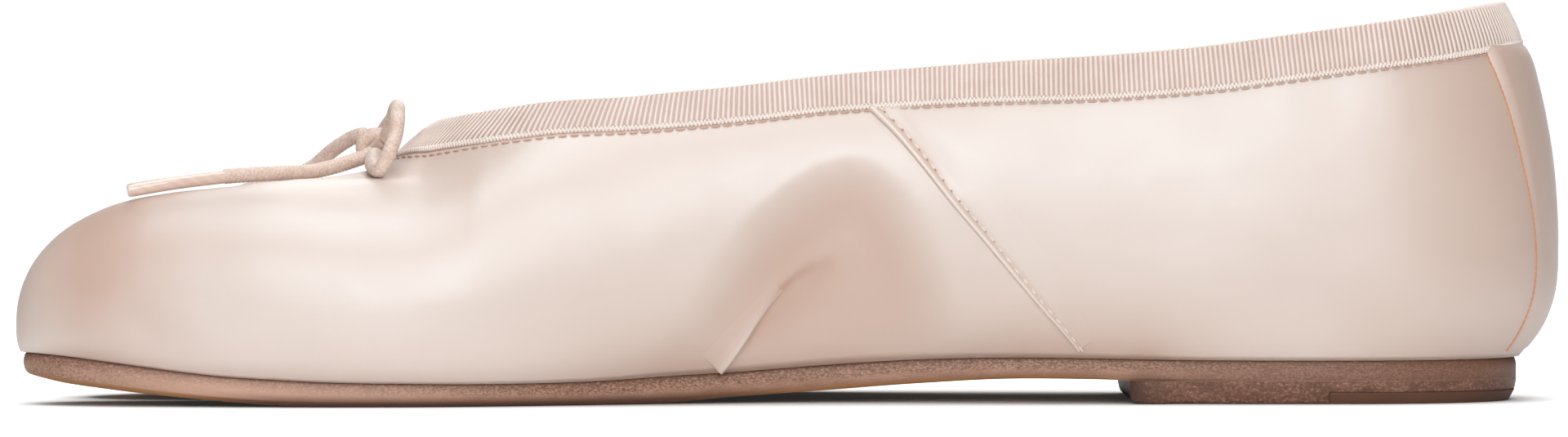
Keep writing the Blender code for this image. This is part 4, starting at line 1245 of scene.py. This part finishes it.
PLEAT_LINE = ((-1.6, 18.3), (-3.9, 15.6), (-6.1, 12.6), (-8.3, 9.4), (-10.3, 6.6), (-12.2, 4.4))
PLEAT_PROFILE = (  # offset forward from the fold's edge, height, tone
    (-0.10, -0.45, -1), (-0.14, 0.10, -0.8), (-0.05, 0.50, 0), (0.18, 0.84, 0.5), (0.5, 0.92, 0.7),
    (0.95, 0.80, 0.2), (1.3, 0.44, 0), (2.0, 0.20, 0), (3.0, 0.07, 0), (4.2, -0.04, 0),
)


def pleat_shape(share):
    return 0.50 + 0.65 * share, min(1.0, 0.10 + 1.6 * share)


pleat_profile = tuple((-offset, height, tone) for offset, height, tone in PLEAT_PROFILE)
pleat = piece("waist_pleat", applique(MEDIAL, PLEAT_LINE, pleat_profile, 0.5, pleat_shape), satin_cloth, 180)
declare(pleat, "satin")

# ---------------------------------------------------------------- back strip
# A strip of the same satin covers the seam at the back of the heel, from under the binding down to
# the sole, sewn along both edges with orange thread, darkened with painted shade for the crease along each
# edge.

STRIP_EDGE = (  # in side view, from the binding down to the sole
    (110.4, 59.4), (111.4, 57.4), (113.9, 51.9), (116.2, 45.1), (118.1, 37.0), (119.6, 30.5),
    (120.2, 24.2), (120.0, 19.0), (119.2, 15.3), (117.8, 12.0), (115.8, 8.6),
)
STRIP_EVEN = 13  # how many of its rows even out the width of one
STRIP_ROUND, STRIP_RIM = 33, 0.9  # radius of the back of the heel, and width of the turned edge
STRIP_STITCH, STRIP_STITCH_LENGTH, STRIP_THREAD = 1.0, 1.15, 0.34
STRIP_RISE = (  # how far it stands off the satin, at heights above the floor
    (8, 24, 32, 40, 50, 54, 56, 57.4, 58.6), (0.18, 0.18, 0.30, 0.50, 0.9, 1.15, 1.1, 0.75, 0.05),
)


def across_back(z, half):
    """Points of the skin round the back of the heel at a height, from one half-width to the other."""
    row = []
    for t in np.linspace(-1, 1, 37):
        angle = t * half
        origin = Vector((HEEL_CENTRE_X, 0, z))
        way = Vector((math.cos(angle), math.sin(angle), 0))
        point, normal, _, _ = body_tree.ray_cast(origin + way * 80, -way)
        row.append((t, np.array(point), np.array(normal)))
    return row


strip = bmesh.new()
strip_rows, strip_sides, strip_places = [], ([], []), []
for x, z in even_points(STRIP_EDGE, 0.8):
    point, _ = onto_skin(MEDIAL, min(x, 124.0), z)
    if point is not None:
        strip_places.append((z, abs(math.atan2(point[1], point[0] - HEEL_CENTRE_X))))
halves = np.array([half for _, half in strip_places])
window = np.ones(STRIP_EVEN) / STRIP_EVEN
halves = np.convolve(np.pad(halves, STRIP_EVEN // 2, mode="edge"), window, mode="valid")
for (z, _), half in zip(strip_places, halves):
    row = []
    for t, p, n in across_back(z, half):
        rim = (1 - abs(t)) * half * STRIP_ROUND / STRIP_RIM
        row.append(strip.verts.new(p + n * (np.interp(z, *STRIP_RISE) * min(1.0, rim) ** 0.5 - 0.03)))
        if abs(t) == 1:
            strip_sides[int(t > 0)].append(p + n * 0.04)
    strip_rows.append(row)
quads(strip, strip_rows)
strip.normal_update()
if next(iter(strip.faces)).normal.x < 0:
    bmesh.ops.reverse_faces(strip, faces=strip.faces)
back_strip = piece("back_strip", strip, satin_cloth, 180)
declare(back_strip, "satin")
# Orange thread for the strip's edges, darkened with painted shade for the crease along each.
warm_thread = thread("warm_thread", (0.50, 0.20, 0.09), (0.70, 0.34, 0.17))
strip_stitches = stitch_row(
    "strip_stitches", strip_sides, warm_thread, STRIP_STITCH, STRIP_STITCH_LENGTH, STRIP_THREAD
)
declare(strip_stitches, "satin")

# ---------------------------------------------------------------- topline binding
# Ribbed ribbon folded over the edge of the opening and sewn through: rounded ribs run across it, and
# its selvedge is a row of fine beads. A second row of stitches, pinkish thread darkened with painted
# shade for the holes it lies in, catches it to the satin below.

RIBBON_WIDTH, RIBBON_CLEAR = 7.0, 0.35
RIB_PITCH, RIB = 0.80, 0.26
BEAD_PITCH, BEAD = 0.62, 0.70
HEM_STITCH, HEM_STITCH_LENGTH, HEM_THREAD, HEM_STITCH_BELOW = 1.9, 1.5, 0.32, 0.42
RIB_LEAN = ((-58, -50, -40, -20, 0, 40, 90, 115), (0.75, 0.60, 0.38, 0.22, 0.08, 0.0, -0.05, -0.10))
DOWN = (0.3, 1.2, 2.3, 3.4, 4.5, 5.6, 6.3, 6.9)
PRESSED = (0, 0, 0, 0, 0, 0.06, 0.16, 0.34)  # how far the hem is pressed down, at the same places
FOLD_ANGLES = (20, 45, 70, 90, 110, 135, 160)


def walk(tree, start, heading, distances, step=0.8):
    """Points and normals on the skin at each distance from its edge, along a heading away from it."""
    point, normal, _, _ = tree.find_nearest(Vector(start))
    heading = Vector(heading)
    found, gone = [], 0.0
    for distance in distances:
        while gone < distance - 1e-6:
            stride = min(step, distance - gone)
            ahead, normal, _, _ = tree.find_nearest(point + heading * stride)
            heading = (ahead - point).normalized()
            heading = (heading - normal * heading.dot(normal)).normalized()
            point = ahead
            gone += stride
        found.append((np.array(point), np.array(normal), np.array(heading)))
    return found


def rib_lean(x):
    """How far the ribs lean towards the toe as they go down."""
    return float(np.interp(x, *RIB_LEAN))


raw_edge = topline(SKIN_PITCH)
edge_loop = lift_throat(raw_edge, fine_line(np.vstack([raw_edge, raw_edge[:1]]), 1.0))
closed_edge = np.vstack([edge_loop, edge_loop[:1]])
edge_steps = np.linalg.norm(np.diff(closed_edge, axis=0), axis=1)
edge_steps /= [math.hypot(1, rib_lean(x)) ** 0.6 for x in closed_edge[1:, 0]]
edge_length = np.concatenate([[0], np.cumsum(edge_steps)])
rib_count = round(edge_length[-1] / RIB_PITCH)
places = np.linspace(0, edge_length[-1], rib_count, endpoint=False)
edge_points = np.stack([np.interp(places, edge_length, closed_edge[:, axis]) for axis in range(3)], axis=1)
edge_ways = np.roll(edge_points, -2, axis=0) - np.roll(edge_points, 2, axis=0)
edge_ways /= np.linalg.norm(edge_ways, axis=1)[:, None]


def folded(point, way, lean, out, rise):
    """Points of a layer of the ribbon, from its outer edge up over the fold and down inside."""
    normal = body_tree.find_nearest(Vector(point))[1]
    heading = Vector(way).cross(normal).normalized()
    levels = walk(body_tree, point, (heading + lean * Vector(way)).normalized(), DOWN)
    levels[0] = (point, levels[0][1], levels[0][2])
    n, down = np.array(normal), np.array(heading)
    middle = point - n * WALL / 2
    fold = []
    for angle in FOLD_ANGLES:
        turn = math.radians(angle)
        fold.append(middle + n * math.cos(turn) * (WALL / 2 + out) - down * math.sin(turn) * rise)
    outer = [p + m * (out - pressed) for (p, m, _), pressed in zip(levels, PRESSED)][::-1]
    inner = [p - m * (WALL + out) for p, m, _ in levels]
    return outer, fold, inner


ribbon_rows, rib_lines, bead_lines, inner_beads, stitch_line = [], [], ([], []), [], []
for point, way in zip(edge_points, edge_ways):
    lean = -math.copysign(rib_lean(point[0]), way[0])
    outer, fold, inner = folded(point, way, lean, RIBBON_CLEAR + 0.30, 0.72)
    hem = walk(body_tree, point, np.cross(way, body_tree.find_nearest(Vector(point))[1]), (RIBBON_WIDTH,))[0]
    tucked = inner[-1] + (outer[0] - inner[-1]) * 0.25
    ribbon_rows.append([hem[0] - hem[1] * 0.2, *outer, *fold, *inner, tucked])
    outer, fold, inner = folded(point, way, lean, RIBBON_CLEAR + 0.22, 0.70)
    rib_lines.append([*outer[1:], *fold, *inner[:-1]])
    bead_lines[0].append(outer[0] * 0.45 + outer[1] * 0.55 + hem[1] * 0.05)
    bead_lines[1].append(outer[0] + hem[1] * 0.02)
    inner_beads.append(inner[-1])
    below = walk(body_tree, hem[0], hem[2], (HEM_STITCH_BELOW,))[0]
    stitch_line.append(below[0] + below[1] * 0.16)


def ribbon_cloth(name, low, high):
    finish = Finish(name, high, 0.5, Sheen_Weight=0.3, Sheen_Roughness=0.4)
    fibres = finish.noise(0.22, 2, 0.6)
    cloud = finish.noise(7, 3, 0.5, seed=4)
    colour = finish.mix(finish.ramp(cloud, (0.3, 0.0), (0.7, 1.0)), low, high)
    finish.colour(finish.mix(finish.ramp(fibres, (0.35, 0.35), (0.65, 0.0)), colour, low))
    return finish.relief(fibres, 0.03, 0.5).gloss(cloud, 0.42, 0.58).material


ground = ribbon_cloth("ribbon_ground", (0.46, 0.32, 0.275), (0.54, 0.395, 0.345))
ribs_cloth = ribbon_cloth("ribbon_ribs", (0.74, 0.62, 0.55), (0.86, 0.76, 0.70))
selvedge = ribbon_cloth("ribbon_selvedge", (0.80, 0.69, 0.62), (0.89, 0.81, 0.75))
ribbon = bmesh.new()
loops = [[ribbon.verts.new(p) for p in row] for row in ribbon_rows]
quads(ribbon, [*loops, loops[0]], ring=True)
binding = piece("binding_ribbon", ribbon, ground, 180)
declare(binding, "grosgrain", "topline_binding")


def rib_tree():
    """Each run of edges becomes a round rib, swept with a small profile."""
    tree = Tree("ribs", {"Rib": RIB * MM, "Finish": ribs_cloth})
    curve = tree.add("GeometryNodeMeshToCurve", Mesh=tree.given["Geometry"])
    ring = tree.add("GeometryNodeCurvePrimitiveCircle", Resolution=6, Radius=tree.given["Rib"])
    swept = tree.add(
        "GeometryNodeCurveToMesh", Curve=curve.outputs[0], Profile_Curve=ring.outputs[0], Fill_Caps=True
    )
    smooth = tree.add("GeometryNodeSetShadeSmooth", Geometry=swept.outputs[0])
    return tree, smooth


tree, swept = rib_tree()
ribs = tree.finished(swept.outputs[0], poly_lines("binding_ribs", rib_lines))
declare(ribs, "grosgrain")
beads = stitch_row("binding_beads", bead_lines, selvedge, BEAD_PITCH, BEAD_PITCH * 0.94, BEAD, closed=True)
declare(beads, "grosgrain")
hidden_beads = stitch_row(
    "binding_beads_inside", [inner_beads], ribs_cloth, BEAD_PITCH * 2, BEAD_PITCH * 1.9, BEAD, closed=True
)
declare(hidden_beads, "grosgrain")
# The hem stitches: pinkish thread darkened with painted shade.
edge_stitches = stitch_row(
    "binding_stitches", [stitch_line], blush_thread, HEM_STITCH, HEM_STITCH_LENGTH, HEM_THREAD, closed=True
)
declare(edge_stitches, "grosgrain")

# ---------------------------------------------------------------- bow
# A drawcord runs in the binding and comes out at the throat, tied in a small bow. Each end is
# wrapped in a clear film tip. The loops and ends are held by the knot and rest on the vamp.

CORD, AGLET = 2.45, 2.1
KNOT_CENTRE = (-68.2, -2.8, 41.2)
BOW_LOOPS = {
    "medial": (
        (-66.3, -7.0, 42.6), (-65.2, -9.4, 45.4), (-64.3, -12.8, 47.6), (-63.9, -16.6, 47.2),
        (-64.0, -20.4, 43.6), (-65.1, -22.0, 40.2), (-66.7, -21.2, 37.4), (-68.0, -16.4, 38.2),
        (-68.1, -10.0, 39.8), (-67.9, -7.6, 39.9),
    ),
    "lateral": (
        (-66.2, 1.4, 42.5), (-65.6, 4.4, 44.4), (-65.6, 9.0, 45.8), (-66.8, 13.2, 45.0),
        (-68.6, 15.6, 42.2), (-69.6, 15.4, 39.2), (-69.6, 12.0, 38.6), (-68.9, 7.0, 39.1),
        (-68.1, 3.6, 39.8), (-67.8, 1.9, 40.0),
    ),
}
BOW_ENDS = {
    "medial": (
        (-68.4, -4.4, 40.4), (-70.0, -5.0, 39.6), (-71.6, -5.9, 39.0), (-74.4, -8.6, 38.1),
        (-78.5, -12.4, 37.2), (-84.0, -16.4, 37.0), (-90.8, -19.9, 36.6), (-91.6, -20.2, 36.5),
        (-99.0, -23.0, 35.6), (-106.8, -25.2, 34.3),
    ),
    "lateral": (
        (-70.2, 0.6, 43.3), (-72.4, 2.4, 42.6), (-75.6, 5.0, 40.6), (-79.4, 7.6, 37.6),
        (-85.0, 9.4, 35.1), (-90.0, 10.2, 34.0), (-90.6, 10.2, 33.8), (-98.0, 10.8, 32.4),
        (-105.8, 11.2, 30.6),
    ),
}
AGLETS = {
    "medial": ((-91.6, -20.2, 36.5), (-99.0, -23.0, 35.6), (-106.8, -25.2, 34.3)),
    "lateral": ((-90.6, 10.2, 33.8), (-98.0, 10.8, 32.4), (-105.8, 11.2, 30.6)),
}
BRAID_TURN, BRAID_STRANDS = 4.6, 6  # length in which a strand goes once round, and strands each way
CORD_SIDES, CORD_RING = 36, 0.16
CORD_DARK, CORD_PALE = (0.71, 0.535, 0.445), (0.86, 0.725, 0.64)
CORD_PITS = (0.52, 0.325, 0.245)  # the shade between the crossing strands
FILM_TURN, FILM_SLANT = 25.133, 2.6  # its lines: radians once round the cord, and for a millimetre along it
FILM_PALE, FILM_LINES = (0.79, 0.615, 0.53), (0.73, 0.55, 0.465)
FILM_LIFT = 0.03


def braided(angle, gone, radius):
    """Radius of a round braid at an angle and a length along the cord."""
    turn = 2 * math.pi * gone / BRAID_TURN
    crossing = math.cos(BRAID_STRANDS * (angle + turn) / 2) * math.cos(BRAID_STRANDS * (angle - turn) / 2)
    return radius * (0.92 + 0.10 * abs(crossing) ** 0.7)


def tube(line, radius_at):
    """A round closed tube along a line of points; radius_at takes (angle, length gone, share)."""
    bm = bmesh.new()
    ways = np.gradient(line, axis=0)
    ways /= np.linalg.norm(ways, axis=1)[:, None]
    up = np.array([0.0, 0.0, 1.0])
    up = up - ways[0] * up.dot(ways[0])
    gone, rings = 0.0, []
    turn_layer = bm.verts.layers.float.new("turn")
    gone_layer = bm.verts.layers.float.new("gone")
    for k, (p, way) in enumerate(zip(line, ways)):
        up = up - way * up.dot(way)
        up /= np.linalg.norm(up)
        side = np.cross(way, up)
        if k:
            gone += float(np.linalg.norm(p - line[k - 1]))
        row = []
        for i in range(CORD_SIDES):
            angle = 2 * math.pi * i / CORD_SIDES
            reach = radius_at(angle, gone, k / (len(line) - 1))
            vert = bm.verts.new(p + (side * math.cos(angle) + up * math.sin(angle)) * reach)
            vert[turn_layer], vert[gone_layer] = i / CORD_SIDES, gone
            row.append(vert)
        rings.append(row)
    quads(bm, rings, ring=True)
    bm.faces.new(rings[0][::-1])
    bm.faces.new(rings[-1])
    return bm


def cord_yarn():
    """Soft twisted yarn, cloudy, with dark pits between its fibres."""
    finish = Finish("cord_yarn", CORD_PALE, 0.55, Sheen_Weight=0.3)
    fibres = finish.noise(0.30, 3, 0.7)
    cloud = finish.noise(2.0, 3, 0.5, seed=2)
    colour = finish.mix(finish.ramp(cloud, (0.3, 0.0), (0.7, 1.0)), CORD_DARK, CORD_PALE)
    finish.colour(finish.mix(finish.ramp(fibres, (0.38, 0.60), (0.54, 0.0)), colour, CORD_PITS))
    return finish.relief(fibres, 0.09, 0.8).gloss(cloud, 0.45, 0.62).material


def film():
    """Clear film wound over the cord, glossy, with faint slanting lines of the braid under it."""
    finish = Finish(
        "film", (0.78, 0.60, 0.52), 0.22, Specular_IOR_Level=0.55, Coat_Weight=0.6, Coat_Roughness=0.08
    )
    turn = finish.math("MULTIPLY", finish.attribute("turn"), FILM_TURN)
    wound = finish.math("MULTIPLY", finish.attribute("gone"), FILM_SLANT)
    lines = finish.math("SINE", finish.math("ADD", turn, wound), 0.0)
    faint = finish.ramp(finish.math("MULTIPLY_ADD", lines, 0.5), (0.0, 0.0), (1.0, 1.0))
    finish.colour(finish.mix(faint, FILM_LINES, FILM_PALE))
    return finish.relief(finish.noise(3, 2), 0.05, 0.3).material


def settled(line):
    """The cord's line, moved out wherever the cord would sink into the satin it rests on."""
    found = []
    for p in line:
        point, normal, _, _ = body_tree.find_nearest(Vector(p))
        height = float(np.dot(p - np.array(point), np.array(normal)))
        found.append(p + np.array(normal) * max(0.0, CORD / 2 - height))
    return np.array(found)


yarn = cord_yarn()
for where, route in BOW_LOOPS.items():
    line = settled(even_points(route, CORD_RING))
    loop = piece("cord_loop_" + where, tube(line, lambda a, s, t: braided(a, s, CORD / 2)), yarn, 180)
    declare(loop, "cord", "bow_loop_" + where)
    path = settled(even_points(route, 1.5)) * MM
for where, route in BOW_ENDS.items():
    line = settled(even_points(route, CORD_RING))
    start = AGLETS[where][0]

    def end_radius(angle, gone, share, line=line, start=start):
        place = line[round(share * (len(line) - 1))]
        wrapped = min(1.0, max(0.0, start[0] - place[0]))
        return braided(angle, gone, CORD / 2) * (1 - 0.2 * wrapped)

    wrap_line = settled(even_points(AGLETS[where], 0.5))

    def wrap_radius(angle, gone, share):
        rim = min(share, 1 - share) * 40
        return (AGLET / 2 + FILM_LIFT) * (1 - 0.10 * max(0.0, 1 - rim) ** 2 if share > 0.5 else 1.0)

    wrap = piece("end_wrap_" + where, tube(wrap_line, wrap_radius), film(), 50)
    declare(wrap, "film", "aglet_" + where)
    end = piece("cord_end_" + where, tube(line[:-2], end_radius), yarn, 180)
    declare(end, "cord", "bow_end_" + where)
    path = settled(even_points(route, 2.0)) * MM

# The knot: a short core, and the cord wound round it.
WRAPS, WRAP_STEP, WRAP_REACH = 1.6, 2.0, (2.05, 1.95)
KNOT_CORE = (
    (-66.6, -6.6, 42.2), (-67.6, -5.0, 41.2), (-68.2, -2.8, 40.8), (-67.6, -0.6, 41.2), (-66.6, 1.2, 42.0),
)
core = even_points(KNOT_CORE, 0.2)
knot = tube(core, lambda a, s, t: braided(a, s, CORD / 2))
turns = np.linspace(-0.3, WRAPS - 0.3, 70)
cross = []
for t in turns:
    angle = 2 * math.pi * t
    along_core = (t - (WRAPS / 2 - 0.3)) * WRAP_STEP
    place = (WRAP_REACH[0] * math.cos(angle), along_core, WRAP_REACH[1] * math.sin(angle))
    cross.append(np.array(KNOT_CENTRE) + place)
wound = tube(even_points(cross, CORD_RING), lambda a, s, t: braided(a, s, CORD / 2))
wound_mesh = bpy.data.meshes.new("wound")
wound.to_mesh(wound_mesh)
knot.from_mesh(wound_mesh)
bpy.data.meshes.remove(wound_mesh)
tied = piece("knot", knot, yarn, 180)
declare(tied, "cord", "bow_knot")

# ---------------------------------------------------------------- camera, floor and light
# A long lens just above the shoe, and a plain white floor that darkens only close under it. Broad
# soft lights shine from above, in front and behind, and the room is pale all round.

FLOOR_PALE, FLOOR_SEEN = 0.95, 0.62  # how pale it is to the shoe and to the camera
FLOOR_GLOW, FLOOR_SHADE, FLOOR_OPEN, FLOOR_REACH = 0.02, 0.30, 0.97, 0.06
FLOOR_SIZE, FLOOR_BELOW = 8000, 0.02


def floor_paint():
    """Matt white, glowing to the camera wherever nothing stands close above it."""
    finish = Finish("floor_paint", (0.9, 0.9, 0.9), 0.8, Specular_IOR_Level=0.1)
    finish.shader.inputs["Emission Color"].default_value = (1, 1, 1, 1)
    near = finish.nodes.new("ShaderNodeAmbientOcclusion")
    near.inputs["Distance"].default_value = FLOOR_REACH
    seen = finish.nodes.new("ShaderNodeLightPath").outputs["Is Camera Ray"]
    glow = finish.ramp(near.outputs["AO"], (FLOOR_SHADE, FLOOR_GLOW), (FLOOR_OPEN, 1.0))
    finish.links.new(finish.math("MULTIPLY", glow, seen), finish.shader.inputs["Emission Strength"])
    return finish.colour(finish.mix(seen, (FLOOR_PALE,) * 3, (FLOOR_SEEN,) * 3)).material


floor_mesh = bmesh.new()
bmesh.ops.create_grid(floor_mesh, x_segments=1, y_segments=1, size=FLOOR_SIZE)
bmesh.ops.translate(floor_mesh, verts=floor_mesh.verts, vec=(0, 0, -FLOOR_BELOW))
floor = piece("floor", floor_mesh, floor_paint())

CAMERA_X, CAMERA_HEIGHT, CAMERA_AWAY, TARGET_Z = -1.47, 50.0, 1300.0, 29.44
LENS = 182.3
camera_data = bpy.data.cameras.new("camera")
camera_data.lens, camera_data.sensor_width = LENS, 36
camera_data.clip_start, camera_data.clip_end = 0.01, 100
camera = bpy.data.objects.new("camera", camera_data)
bpy.context.collection.objects.link(camera)
camera.location = Vector((CAMERA_X, -CAMERA_AWAY, CAMERA_HEIGHT)) * MM
aim = Vector((CAMERA_X, 0, TARGET_Z)) * MM - camera.location
camera.rotation_euler = aim.to_track_quat("-Z", "Y").to_euler()
bpy.context.scene.camera = camera

LIGHTS = {  # place and size in metres, and power
    "key": ((-0.03, -0.10, 1.0), 0.7, 6.0),
    "front": ((0.0, -1.1, 0.55), 0.8, 9.3),
    "back": ((0.15, 0.95, 0.75), 0.8, 7.5),
}
ROOM, ROOM_SEEN = 0.09, 1.2
for name, (place, size, power) in LIGHTS.items():
    data = bpy.data.lights.new(name, "AREA")
    data.shape, data.size, data.energy = "SQUARE", size, power
    light = bpy.data.objects.new(name, data)
    bpy.context.collection.objects.link(light)
    light.location = place
    light.rotation_euler = (Vector((0, 0, 0.03)) - light.location).to_track_quat("-Z", "Y").to_euler()

world = bpy.data.worlds.new("room")
world.use_nodes = True
bpy.context.scene.world = world
nodes, links = world.node_tree.nodes, world.node_tree.links
room = nodes["Background"]
room.inputs["Color"].default_value = (0.88, 0.95, 1.0, 1)
room.inputs["Strength"].default_value = ROOM
seen = nodes.new("ShaderNodeBackground")
seen.inputs["Color"].default_value = (1, 1, 1, 1)
seen.inputs["Strength"].default_value = ROOM_SEEN
path_kind, either = nodes.new("ShaderNodeLightPath"), nodes.new("ShaderNodeMixShader")
links.new(path_kind.outputs["Is Camera Ray"], either.inputs["Fac"])
links.new(room.outputs[0], either.inputs[1])
links.new(seen.outputs[0], either.inputs[2])
links.new(either.outputs[0], nodes["World Output"].inputs["Surface"])
bpy.context.scene.view_settings.view_transform = "Standard"
